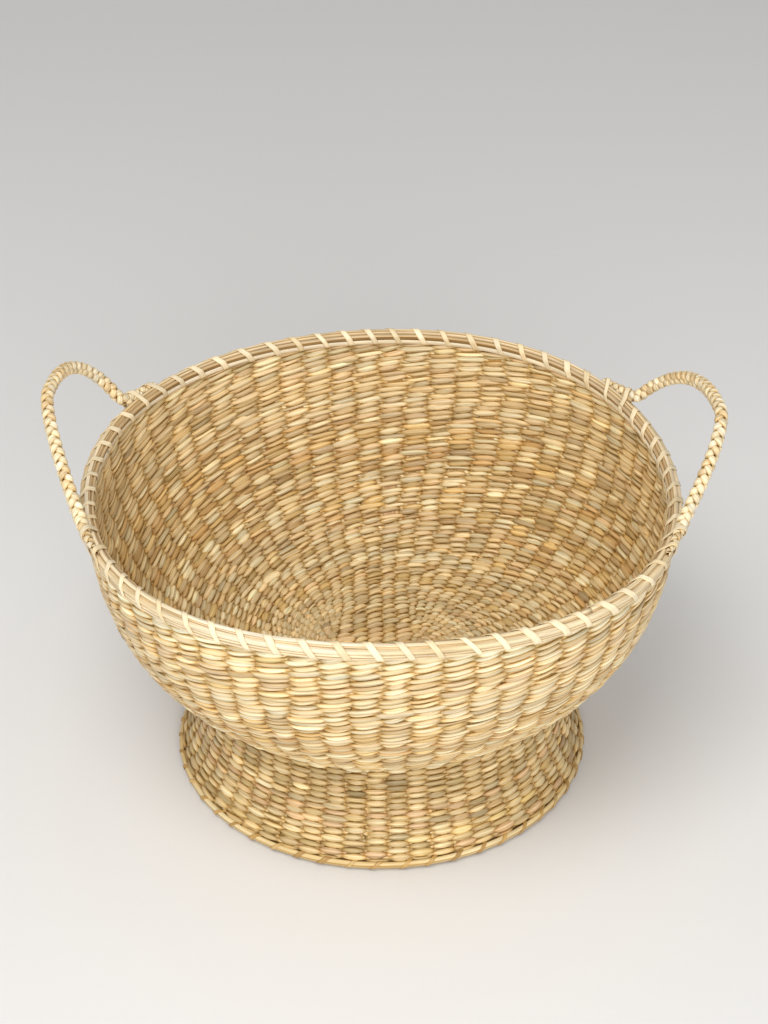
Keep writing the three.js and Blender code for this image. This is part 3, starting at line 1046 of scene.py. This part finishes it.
    def crossing_strands(self) -> list[Strand]:
        """The stakes that cross over and under each other in the rectangle in the middle of the base.

        Returns:
            The stakes, three one way and five the other, each of three strands side by side.
        """
        made = []
        plan = self.start
        deep_room = 2 * plan.half_deep / plan.deep_columns
        wide_room = 2 * plan.half_wide / plan.wide_columns
        ways = (
            (plan.deep_columns, deep_room, plan.half_wide, wide_room, 0),
            (plan.wide_columns, wide_room, plan.half_deep, deep_room, 1),
        )
        for count, room, reach, pitch, way in ways:
            strand_room = room / self.cross_splits
            run = np.linspace(-reach - self.cross_reach, reach + self.cross_reach, self.cross_steps)
            for index in range(self.cross_splits * count):
                middle = (index - (self.cross_splits * count - 1) / 2) * room / self.cross_splits
                place = run + reach + self.cross_reach
                beside = middle + wander(self.rng, place, self.cross_straying_step, self.cross_straying)
                stake = index // self.cross_splits
                lift = self.cross_lift * np.cos(math.pi * (run / pitch + stake + way))
                level = self.base_height + lift
                if way == 0:
                    spots = (run + plan.shift, beside, level)
                else:
                    spots = (beside + plan.shift, run, level)
                light = self.cross_light - self.cross_under_shade * (lift < 0)
                made.append(
                    Strand.along(
                        np.stack(spots, axis=-1),
                        np.broadcast_to([0.0, 0.0, 1.0], (len(run), 3)),
                        np.full(len(run), self.cross_share * strand_room),
                        np.full(len(run), self.cross_half_thickness),
                        browned(BOWL_STRAW.pick(self.rng, 1), light),
                        fibre_seed(self.rng),
                    )
                )
        return made

    def build(self) -> list[bpy.types.Object]:
        """Makes the bowl in bands, from its base to its rim.

        Returns:
            The pieces.
        """
        twining = self.twining()
        heights = [float(strand.middle[:, 2].mean()) for strand in twining]
        order = np.array_split(np.argsort(heights, kind="stable"), self.bands)
        pieces = []
        for number, members in enumerate(order, start=1):
            band = StrandMesh(WOVEN_CORNERS, WOVEN_ROUNDNESS, WOVEN_EDGE_SHADE)
            for index in sorted(members):
                band.add(twining[index])
            pieces.append(band.build(f"bowl_twining_{number}", BOWL_STRAW))
        frame = StrandMesh(STAKE_CORNERS, STAKE_ROUNDNESS)
        for strand in [*self.stake_strands(), *self.crossing_strands()]:
            frame.add(strand)
        pieces.append(frame.build("bowl_stakes", BOWL_STRAW))
        for piece in pieces:
            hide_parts("bowl_weave")
            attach(piece, "bowl")
        return pieces


@dataclass
class WovenFoot:
    """The foot: one strand at a time, over and under an odd number of stakes, flared to the hem."""

    rng: np.random.Generator
    hem: tuple[float, float] = (HEM_RADIUS, 0.0073)
    waist: tuple[float, float] = (0.115, 0.026)
    neck: tuple[float, float] = (0.112, 0.0675)
    stakes: int = 57
    stake_share: float = 1.06
    stake_thickness: float = 0.0009
    stake_bottom: float = 0.0043
    first_row: float = -0.0022
    row_pitch: float = 0.0021
    strand_out: float = 0.0011
    strand_half_width: float = 0.0023
    strand_half_thickness: float = 0.001
    crossing_half_width: float = 0.0012
    crossing_shade: float = 0.54
    crossing_shift: float = 0.075
    squareness: float = 0.75
    unevenness: float = 0.15
    straying: float = 0.00026
    strand_stitches: tuple[int, int] = (10, 44)
    stitch_steps: tuple[float, ...] = (0.0, 0.06, 0.16, 0.32, 0.5, 0.68, 0.84, 0.94)
    start_thinnest: float = 0.2
    curve_steps: int = 1001
    stake_steps: int = 12
    bands: int = 2
    table: dict[str, Array] = field(default_factory=dict)

    def __post_init__(self) -> None:
        """Measures the flare's curve from the hem up to the neck."""
        share = np.linspace(0, 1, self.curve_steps)[:, None]
        points = (
            (1 - share) ** 2 * np.array(self.hem)
            + 2 * share * (1 - share) * np.array(self.waist)
            + share**2 * np.array(self.neck)
        )
        self.table = {"run": run_along(points), "radius": points[:, 0], "height": points[:, 1]}

    def surface(self, run: Array, turn: Array) -> Array:
        """Points of the foot's middle at a distance above the hem and a share of a turn."""
        radius = np.interp(run, self.table["run"], self.table["radius"])
        height = np.interp(run, self.table["run"], self.table["height"]) + np.minimum(run, 0.0)
        return np.stack([radius * np.cos(TURN * turn), radius * np.sin(TURN * turn), height], axis=-1)

    def facing(self, run: Array, turn: Array) -> Array:
        """The way out of the foot at places on it."""
        return wall_facing(self.surface, run, turn)

    def weaving(self) -> list[Strand]:
        """The strands that go round the foot, over one stake and under the next.

        Returns:
            The strands, from the hem up.
        """
        top = float(self.table["run"][-1])
        stitches = int((top - self.first_row) / self.row_pitch) * self.stakes
        share = np.array(self.stitch_steps)
        passed = (np.arange(stitches)[:, None] + share[None, :]).ravel()
        pace = passed + wander(self.rng, passed, step=1.0, size=self.crossing_shift)
        stitch = np.clip(np.floor(pace).astype(int), 0, stitches - 1)
        turn = passed / self.stakes
        grown = np.clip(turn, 0.0, 1.0)
        climb = self.row_pitch * np.where(turn < 1, grown / 2, turn - 0.5)
        run = self.first_row + climb + wander(self.rng, passed, step=2.0, size=self.straying)
        swing = np.cos(math.pi * (pace - 0.5))
        flat = np.abs(swing)
        uneven = 1 + self.unevenness * self.rng.standard_normal((stitches, 2))[stitch]
        depth = self.strand_out * np.sign(swing) * flat**self.squareness * uneven[:, 0]
        facing = self.facing(run, turn)
        middle = self.surface(run, turn) + depth[:, None] * facing
        full = self.strand_half_width * uneven[:, 1]
        width = self.crossing_half_width + (full - self.crossing_half_width) * flat
        width = width * np.maximum(grown, self.start_thinnest)
        lengths = splice_lengths(self.rng, stitches, *self.strand_stitches)
        tint = strand_tints(self.rng, FOOT_STRAW, lengths)[stitch]
        tint = browned(tint, crossing_light(flat, self.crossing_shade))
        splicing = Splicing(len(share), self.strand_half_thickness)
        return splicing.cut(self.rng, lengths, middle, facing, width, tint)

    def stake_strands(self) -> list[Strand]:
        """The foot's own stakes, from the hem's reeds up to the bowl."""
        made = []
        top = float(self.table["run"][-1])
        run = np.linspace(self.stake_bottom - self.hem[1], top, self.stake_steps)
        radius = np.interp(run, self.table["run"], self.table["radius"])
        for stake in range(self.stakes):
            turn = np.full(len(run), (stake + 0.5) / self.stakes)
            tint = browned(FOOT_STRAW.pick(self.rng, 1), np.array([STAKE_LIGHT]))
            made.append(
                Strand.along(
                    self.surface(run, turn),
                    self.facing(run, turn),
                    self.stake_share * radius * math.pi / self.stakes,
                    np.full(len(run), self.stake_thickness / 2),
                    np.repeat(tint, len(run), axis=0),
                    fibre_seed(self.rng),
                )
            )
        return made

    def build(self) -> list[bpy.types.Object]:
        """Makes the foot's weave, in bands from the hem up, and its stakes."""
        weaving = self.weaving()
        pieces = []
        order = np.array_split(np.arange(len(weaving)), self.bands)
        for number, members in enumerate(order, start=1):
            band = StrandMesh(WOVEN_CORNERS, WOVEN_ROUNDNESS, WOVEN_EDGE_SHADE)
            for index in members:
                band.add(weaving[index])
            pieces.append(band.build(f"foot_weaving_{number}", FOOT_STRAW))
        frame = StrandMesh(STAKE_CORNERS, STAKE_ROUNDNESS)
        for strand in self.stake_strands():
            frame.add(strand)
        pieces.append(frame.build("foot_stakes", FOOT_STRAW))
        for piece in pieces:
            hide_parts("foot_weave")
            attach(piece, "bowl")
        return pieces


@dataclass(frozen=True)
class Round:
    """A rod or rope cut across, in an edge's section: where it is, its radius and how tall it is."""

    out: float
    up: float
    radius: float
    tall: float = 1.0


@dataclass
class LashedEdge:
    """Reeds laid round an edge of the weave and lashed to it with one wound strip."""

    settling: Settling
    rng: np.random.Generator
    name: str
    radius: float
    height: float
    rods: dict[str, Round]
    reed: StrawFinish
    strip: StrawFinish
    wraps: int
    slant: Slant
    strip_half_width: float
    strip_half_thickness: float = 0.0003
    strip_unevenness: float = 0.16
    strip_corners: int = 10
    strip_roundness: float = 0.5
    strip_edge_shade: float = 0.2
    wrap_start: float = 0.62
    wrap_lean: float = 0.055
    wrap_unevenness: float = 0.07
    wrap_missing: float = 0.25
    wrap_reach: float = 1.2
    steps: int = 32
    outline_steps: int = 721
    reed_swell: float = 1.1
    reed_corners: int = 20
    reed_roundness: float = 0.8
    reed_steps: int = 256
    reed_unevenness: float = 0.03
    reed_shade: float = 0.09
    reed_straying: float = 0.00014
    butt_gap: float = 0.0006
    first_butt: float = 0.3
    groove_share: float = 0.22
    groove_depth: float = 0.10
    groove_shade: float = 5.5
    tails: list[HandleTail] = field(default_factory=list)

    def rod(self, node: str, spot: Round, butt: float) -> bpy.types.Object:
        """One reed, pressed against its neighbours, from its butt all the way round.

        Args:
            node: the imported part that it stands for.
            spot: where it lies in the edge's section.
            butt: the direction at which its two ends meet.

        Returns:
            The reed's object, riding on the bowl.
        """
        gap = self.butt_gap / self.radius
        angle = butt + gap / 2 + np.linspace(0, TURN - gap, self.reed_steps + 1)
        place = np.arange(len(angle)) * TURN * self.radius / self.reed_steps
        out = self.radius + spot.out + wander(self.rng, place, step=0.05, size=self.reed_straying)
        up = self.height + spot.up + wander(self.rng, place, step=0.05, size=self.reed_straying)
        swell = 1 + wander(self.rng, place, step=0.04, size=self.reed_unevenness)
        size = self.reed_swell * spot.radius * swell
        colour = self.reed.pick(self.rng, 1)
        tint = browned(colour, 1 + wander(self.rng, place, step=0.06, size=self.reed_shade))
        mesh = StrandMesh(self.reed_corners, self.reed_roundness)
        groove = 1 - self.groove_depth * (self.rng.random(self.reed_corners) < self.groove_share)
        mesh.section = mesh.section * groove[:, None]
        mesh.shade = 1 - self.groove_shade * (1 - groove)
        middle = self.settling.place(angle, out, up)
        seed = fibre_seed(self.rng)
        mesh.add(Strand.along(middle, outward(angle), spot.tall * size, size, tint, seed))
        piece = mesh.build(f"{node}_reed", self.reed)
        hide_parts(node)
        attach(piece, "bowl")
        return piece

    def rounds_at(self, angle: float) -> list[Round]:
        """What a wrap at a direction goes round: the reeds, and any tail of rope that lies on them."""
        found = []
        for rod in self.rods.values():
            size = self.reed_swell * rod.radius
            lift = size * (rod.tall - 1)
            found += [Round(rod.out, rod.up - lift, size), Round(rod.out, rod.up + lift, size)]
        for tail in self.tails:
            found += tail.rounds_near(angle, self.wrap_reach * self.strip_half_width / self.radius)
        return found

    def taut_outline(self, rounds: list[Round]) -> tuple[Array, Array]:
        """The line of a taut strip round some rods, in even steps.

        Args:
            rounds: the rods.

        Returns:
            The line's places in the section, from the lowest one up the inside, over the top and down
            the outside, and the way out of the line at each.
        """
        tilt = -QUARTER - np.linspace(0, TURN, self.outline_steps)
        away = np.stack([np.cos(tilt), np.sin(tilt)], axis=-1)
        middles = np.array([[spot.out, spot.up] for spot in rounds])
        radii = np.array([spot.radius for spot in rounds])
        outermost = np.argmax(away @ middles.T + radii, axis=1)
        line = middles[outermost] + (radii[outermost] + self.strip_half_thickness)[:, None] * away
        run = run_along(line)
        even = np.arange(self.steps) / self.steps * run[-1]
        return tuple(
            np.stack([np.interp(even, run, values[:, axis]) for axis in range(2)], axis=-1)
            for values in (line, away)
        )

    def lashing(self) -> bpy.types.Object:
        """The strip, wound over the top, down the outside, under and up the inside.

        Returns:
            The strip's object, riding on the bowl.
        """
        count = int((self.wraps - self.wrap_missing) * self.steps)
        wrap = np.arange(count + 1) / self.steps
        turn = TURN * (wrap % 1.0 - self.wrap_start)
        ahead = self.wrap_lean * (np.sin(turn) + math.sin(TURN * self.wrap_start))
        uneven = wander(self.rng, wrap, step=1.0, size=self.wrap_unevenness)
        angle = self.slant.value * (wrap + ahead + uneven) * TURN / self.wraps
        plain = self.taut_outline(self.rounds_at(math.inf))
        line = np.zeros((count + 1, 2))
        away = np.zeros((count + 1, 2))
        for index in range(count + 1):
            rounds = self.rounds_at(float(angle[index]))
            outline = plain if len(rounds) == 2 * len(self.rods) else self.taut_outline(rounds)
            line[index] = outline[0][index % self.steps]
            away[index] = outline[1][index % self.steps]
        middle = self.settling.place(angle, self.radius + line[:, 0], self.height + line[:, 1])
        upward = np.broadcast_to([0.0, 0.0, 1.0], middle.shape)
        facing = away[:, :1] * outward(angle) + away[:, 1:] * upward
        swell = 1 + wander(self.rng, wrap, step=1.0, size=self.strip_unevenness)
        width = self.strip_half_width * swell
        tint = self.strip.pick(self.rng, int(wrap[-1]) + 3)[wrap.astype(int)]
        mesh = StrandMesh(self.strip_corners, self.strip_roundness, self.strip_edge_shade)
        thick = np.full(count + 1, self.strip_half_thickness)
        mesh.add(Strand.along(middle, facing, width, thick, tint, fibre_seed(self.rng)))
        piece = mesh.build(f"{self.name}_lashing_strip", self.strip)
        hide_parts(f"{self.name}_lashing")
        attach(piece, "bowl")
        return piece

    def build(self) -> list[bpy.types.Object]:
        """Lays the reeds, with their butts spread round the edge, and winds the strip."""
        pieces = []
        for index, (node, spot) in enumerate(self.rods.items()):
            pieces.append(self.rod(node, spot, TURN * (index + self.first_butt) / len(self.rods)))
        pieces.append(self.lashing())
        return pieces


@dataclass(frozen=True)
class HandleTail:
    """An end of a handle's rope, which lies on two reeds of the rim under the lashing and tapers."""

    start: float
    way: int
    reeds: tuple[Round, Round]
    length: float = 1.75 * STAKE_ANGLE
    rim_radius: float = RIM_RADIUS
    rope_radius: float = 0.0042
    end_radius: float = 0.0015
    seat_gap: float = 0.0003
    free: float = 0.004

    def spot(self, share: float) -> Round:
        """The rope's section in the rim's section, from its root (0) to its end (1)."""
        rod, cap = self.reeds
        size = self.rope_radius + (self.end_radius - self.rope_radius) * share
        between = np.array([cap.out - rod.out, cap.up - rod.up])
        apart = rod.radius + size + self.seat_gap
        away = math.sqrt(apart**2 - between @ between / 4)
        normal = np.array([between[1], -between[0]]) / np.linalg.norm(between)
        middle = np.array([rod.out + cap.out, rod.up + cap.up]) / 2 + away * normal
        return Round(float(middle[0]), float(middle[1]), size)

    def rounds_near(self, angle: float, margin: float) -> list[Round]:
        """The rope's sections that a wrap of the lashing passes over.

        Args:
            angle: the wrap's direction.
            margin: how far beside it the rope counts.

        Returns:
            The sections, or none where the tail isn't near.
        """
        if not math.isfinite(angle):
            return []
        passed = (self.way * (angle - self.start) + math.pi) % TURN - math.pi
        if passed < self.free / self.rim_radius or passed > self.length + margin:
            return []
        near = (passed - margin, passed, passed + margin)
        return [self.spot(min(max(place / self.length, 0.0), 1.0)) for place in near]


@dataclass
class BraidedHandle:
    """A handle: one rope of four braided strands, from a tail under the lashing to the other tail."""

    settling: Settling
    rng: np.random.Generator
    side: Side
    tails: tuple[HandleTail, HandleTail]
    crown: float
    rim_radius: float = RIM_RADIUS
    rim_height: float = RIM_HEIGHT
    rise: float = 0.056
    lean: float = math.radians(35)
    crown_reach: tuple[float, float] = (0.026, 0.076)
    leg_start: float = 0.08
    root_bend: float = 0.0075
    knee: float = 0.011
    flex: tuple[float, float] = (-0.005, 0.009)
    plait: float = 0.0063
    strand_ring: float = 0.73
    strand_weave: float = 0.21
    strand_width: float = 0.545
    strand_thickness: float = 0.16
    strand_swell: float = 0.18
    strand_unevenness: float = 0.06
    strand_corners: int = 12
    strand_roundness: float = 0.7
    edge_shade: float = 0.7
    edge_power: float = 6.0
    under_shade: float = 0.8
    under_span: tuple[float, float] = (0.1, -0.7)
    inner_side: float = -0.1
    inner_light: float = 0.3
    rope_step: float = 0.0005
    leg_steps: int = 400
    tail_steps: int = 40
    bend_steps: int = 20

    def tail_point(self, tail: HandleTail, share: float) -> Array:
        """A place on a tail, from its root (0) to its end (1)."""
        spot = tail.spot(share)
        angle = np.float64(tail.start + tail.way * tail.length * share)
        radius = np.float64(self.rim_radius + spot.out)
        return self.settling.place(angle, radius, np.float64(self.rim_height + spot.up))

    def plane(self) -> tuple[Array, Array, Array, float]:
        """The plane that the loop stands in.

        Returns:
            The middle between the roots, the way from front to back, the way that the loop rises, and
            half the distance between the roots.
        """
        front, back = (self.tail_point(tail, 0.0) for tail in self.tails)
        chord = unit(back - front)
        upright = unit(np.array([0.0, 0.0, 1.0]) - chord[2] * chord)
        turned = np.cross(upright, chord)
        away = turned if self.side is Side.LEFT else -turned
        lift = math.cos(self.lean) * upright + math.sin(self.lean) * away
        return (front + back) / 2, chord, lift, float(np.linalg.norm(back - front)) / 2

    def leg(self, way: int) -> Array:
        """One leg in the loop's plane, along the chord and up, from its root to the crown."""
        half = self.plane()[3]
        root = np.array([way * half, 0.0])
        bend = np.array([self.crown + way * self.crown_reach[way > 0], self.rise])
        top = np.array([self.crown, self.rise])
        first = root + self.leg_start * (bend - root)
        share = np.linspace(0, 1, self.leg_steps)[:, None]
        weights = ((1 - share) ** 3, 3 * share * (1 - share) ** 2, 3 * share**2 * (1 - share), share**3)
        return sum(weight * spot for weight, spot in zip(weights, (root, first, bend, top)))

    def half_line(self, way: int) -> Array:
        """The rope's middle from a tail's end to the crown."""
        middle, chord, lift, _ = self.plane()
        tail = self.tails[way > 0]
        leg = self.leg(way)
        risen = np.linalg.norm(leg - leg[0], axis=1) >= self.root_bend
        on_leg = middle + leg[risen, :1] * chord + leg[risen, 1:] * lift
        bend_share = self.root_bend / (tail.length * self.rim_radius)
        rim_shares = np.linspace(1, bend_share, self.tail_steps)
        on_rim = np.array([self.tail_point(tail, share) for share in rim_shares])
        root = self.tail_point(tail, 0.0)
        share = np.linspace(0, 1, self.bend_steps)[1:-1, None]
        bend = (1 - share) ** 2 * on_rim[-1] + 2 * share * (1 - share) * root + share**2 * on_leg[0]
        return np.concatenate([on_rim, bend, on_leg])

    def rope(self) -> tuple[Array, Array]:
        """The rope's middle from one tail's end over the loop to the other's, and its radius there."""
        line = np.concatenate([self.half_line(-1), self.half_line(1)[-2::-1]])
        run = run_along(line)
        even = np.linspace(0, run[-1], int(run[-1] / self.rope_step))
        tail = self.tails[0]
        share = np.minimum(even, run[-1] - even) / (tail.length * self.rim_radius)
        size = tail.end_radius + (tail.rope_radius - tail.end_radius) * np.minimum(share, 1.0)
        return np.stack([np.interp(even, run, line[:, axis]) for axis in range(3)], axis=-1), size

    def frames(self, line: Array) -> tuple[Array, Array]:
        """Two cross directions that follow a line without twisting round it.

        Args:
            line: the line's points.

        Returns:
            The two directions at each point.
        """
        tangent = unit(np.gradient(line, axis=0))
        first = np.zeros_like(line)
        first[0] = unit(np.cross(tangent[0], [0.0, 0.0, 1.0]))
        for index in range(1, len(line)):
            carried = first[index - 1] - tangent[index] * (first[index - 1] @ tangent[index])
            first[index] = carried / np.linalg.norm(carried)
        return first, np.cross(tangent, first)

    def strands(self) -> list[Strand]:
        """The four strands, two wound each way, each over one of the others and under the next.

        Returns:
            The strands.
        """
        line, size = self.rope()
        first, second = self.frames(line)
        run = run_along(line)
        turn = math.pi * run / self.plait
        crossing = (turn / QUARTER).astype(int)
        rope_radius = self.tails[0].rope_radius
        made = []
        for number in range(4):
            way = 1 if number % 2 == 0 else -1
            start = number // 2 * math.pi + (0 if way > 0 else QUARTER)
            angle = way * turn + start
            away = np.cos(angle)[:, None] * first + np.sin(angle)[:, None] * second
            over = way * np.sin(2 * turn)
            ring = (self.strand_ring + self.strand_weave * over) * size
            stitches = BRAID.pick(self.rng, int(turn[-1] / QUARTER) + 2)
            light = 1 - self.under_shade * smoothstep(*self.under_span, over)
            full = self.strand_width * np.sqrt(size * rope_radius)
            uneven = wander(self.rng, run, step=0.004, size=self.strand_unevenness)
            made.append(
                Strand.along(
                    line + ring[:, None] * away,
                    away,
                    full * (1 + self.strand_swell * over + uneven),
                    self.strand_thickness * size,
                    browned(stitches[crossing], light),
                    fibre_seed(self.rng),
                    curl=1 / rope_radius,
                )
            )
        return made

    def build(self) -> bpy.types.Object:
        """Braids the handle, from one tail on the rim over its loop to the other.

        Returns:
            The handle's object.
        """
        mesh = StrandMesh(self.strand_corners, self.strand_roundness, self.edge_shade, self.edge_power)
        mesh.shade = np.where(mesh.section[:, 1] < self.inner_side, self.inner_light, mesh.shade)
        for strand in self.strands():
            mesh.add(strand)
        side = self.side.value
        piece = mesh.build(f"{side}_handle_braid", BRAID)
        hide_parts(f"{side}_handle_loop", f"{side}_handle_front_tail", f"{side}_handle_back_tail")
        middle, _, lift, _ = self.plane()
        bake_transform(piece)
        return piece


@dataclass(frozen=True)
class Lamp:
    """A soft square lamp: its name, where it hangs, its power in watts, its colour and its side."""

    name: str
    place: tuple[float, float, float]
    power: float
    colour: tuple[float, float, float]
    size: float = 1.2


@dataclass
class Studio:
    """A plain pale floor, soft light and the photograph's camera."""

    lens: float = 77.34
    sensor: float = 36.0
    place: tuple[float, float, float] = (0.0, -1.1679, 0.9412)
    pitch: float = math.radians(33.08)
    yaw: float = math.radians(0.11)
    roll: float = math.radians(-0.17)
    lamps: tuple[Lamp, ...] = (
        Lamp("window_light", (-0.4, -1.0, 2.0), 27.5, (1.0, 0.99, 0.97)),
        Lamp("front_light", (0.2, -2.3, 0.85), 32.0, (0.97, 1.0, 1.05)),
    )
    lit_spot: tuple[float, float, float] = (0.0, 0.0, 0.12)
    room_light: float = 0.5
    floor_reach: float = 8.0
    floor_level: float = -0.0002
    floor_colour: tuple[float, float, float, float] = (0.74, 0.73, 0.715, 1.0)
    floor_roughness: float = 0.9

    def camera(self) -> None:
        """Stands the camera where the photograph was taken from."""
        data = bpy.data.cameras.new("photo_camera")
        data.lens = self.lens
        data.sensor_width = self.sensor
        camera = bpy.data.objects.new("photo_camera", data)
        camera.location = self.place
        turn = (
            Matrix.Rotation(-self.yaw, 4, "Z")
            @ Matrix.Rotation(QUARTER - self.pitch, 4, "X")
            @ Matrix.Rotation(self.roll, 4, "Z")
        )
        camera.rotation_euler = turn.to_euler()
        bpy.context.scene.collection.objects.link(camera)
        bpy.context.scene.camera = camera

    def hang(self, lamp: Lamp) -> None:
        """Hangs one lamp so that it looks at the bowl."""
        data = bpy.data.lights.new(lamp.name, "AREA")
        data.energy = lamp.power
        data.size = lamp.size
        data.color = lamp.colour
        hung = bpy.data.objects.new(lamp.name, data)
        hung.location = lamp.place
        way = Vector(self.lit_spot) - Vector(lamp.place)
        hung.rotation_euler = way.to_track_quat("-Z", "Y").to_euler()
        bpy.context.scene.collection.objects.link(hung)

    def floor(self) -> None:
        """Lays a pale floor under the bowl."""
        far, level = self.floor_reach, self.floor_level
        points = [(-far, -far, level), (far, -far, level), (far, far, level), (-far, far, level)]
        mesh = bpy.data.meshes.new("pale_floor")
        mesh.from_pydata(points, [], [(0, 1, 2, 3)])
        floor = bpy.data.objects.new("pale_floor", mesh)
        bpy.context.scene.collection.objects.link(floor)
        paper = bpy.data.materials.new("pale_paper")
        sheet = NodeSheet(paper)
        sheet.feed(sheet.shader.inputs["Base Color"], self.floor_colour)
        sheet.feed(sheet.shader.inputs["Roughness"], self.floor_roughness)
        mesh.materials.append(paper)

    def world(self) -> None:
        """Fills the room with soft even light."""
        world = bpy.data.worlds.new("soft_room")
        bpy.context.scene.world = world
        world.use_nodes = True
        light = world.node_tree.nodes["Background"]
        light.inputs["Color"].default_value = (1.0, 1.0, 1.0, 1.0)
        light.inputs["Strength"].default_value = self.room_light

    def build(self) -> None:
        """Sets up the camera, the light and the floor."""
        bpy.context.scene.view_settings.view_transform = "Standard"
        self.camera()
        self.world()
        self.floor()
        for lamp in self.lamps:
            self.hang(lamp)


def rim_rods() -> dict[str, Round]:
    """The rim's reeds: two on each side of the stakes' ends, and one on top of them."""
    radius, aside, apart, top = 0.0016, 0.0027, 0.00175, 0.003977
    return {
        "rim_rod_outer_lower": Round(aside, -apart, radius),
        "rim_rod_outer_upper": Round(aside, apart, radius),
        "rim_rod_inner_lower": Round(-aside, -apart, radius),
        "rim_rod_inner_upper": Round(-aside, apart, radius),
        "rim_rod_cap": Round(0.0, top, radius),
    }


def hem_rods() -> dict[str, Round]:
    """The hem's reeds: one on each side of the stakes' ends, the outer one tall, and one below."""
    radius, aside, below = 0.0015, 0.0026, -0.002032
    return {
        "hem_rod_outer": Round(aside, 0.0, radius, tall=1.35),
        "hem_rod_inner": Round(-aside, 0.0, radius),
        "hem_rod_cap": Round(0.0, below, radius),
    }


def main() -> None:
    """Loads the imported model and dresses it, piece by piece."""
    logging.basicConfig(level=logging.INFO, format="%(name)s: %(message)s")
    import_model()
    Studio().build()
    settling = Settling()
    rods = rim_rods()
    seat = (rods["rim_rod_outer_upper"], rods["rim_rod_cap"])
    # Front and back roots of the handles, in stakes counted round from the right
    left_tails = (HandleTail(35 * STAKE_ANGLE, 1, seat), HandleTail(27 * STAKE_ANGLE, -1, seat))
    right_tails = (HandleTail(-3 * STAKE_ANGLE, -1, seat), HandleTail(5 * STAKE_ANGLE, 1, seat))
    TwinedBowl(settling, np.random.default_rng(1)).build()
    WovenFoot(np.random.default_rng(2)).build()
    LashedEdge(
        settling,
        np.random.default_rng(3),
        "rim",
        radius=RIM_RADIUS,
        height=RIM_HEIGHT,
        rods=rods,
        reed=RIM_REED,
        strip=RIM_STRIP,
        wraps=STAKES,
        slant=Slant.DOWN_TO_RIGHT,
        strip_half_width=0.0020,
        tails=[*left_tails, *right_tails],
    ).build()
    LashedEdge(
        settling,
        np.random.default_rng(4),
        "hem",
        radius=HEM_RADIUS,
        height=0.004532,
        rods=hem_rods(),
        reed=HEM_REED,
        strip=HEM_STRIP,
        wraps=50,
        slant=Slant.DOWN_TO_LEFT,
        strip_half_width=0.0013,
    ).build()
    BraidedHandle(settling, np.random.default_rng(11), Side.LEFT, left_tails, crown=0.005).build()
    BraidedHandle(settling, np.random.default_rng(12), Side.RIGHT, right_tails, crown=-0.018).build()


if __name__ == "__main__":
    main()
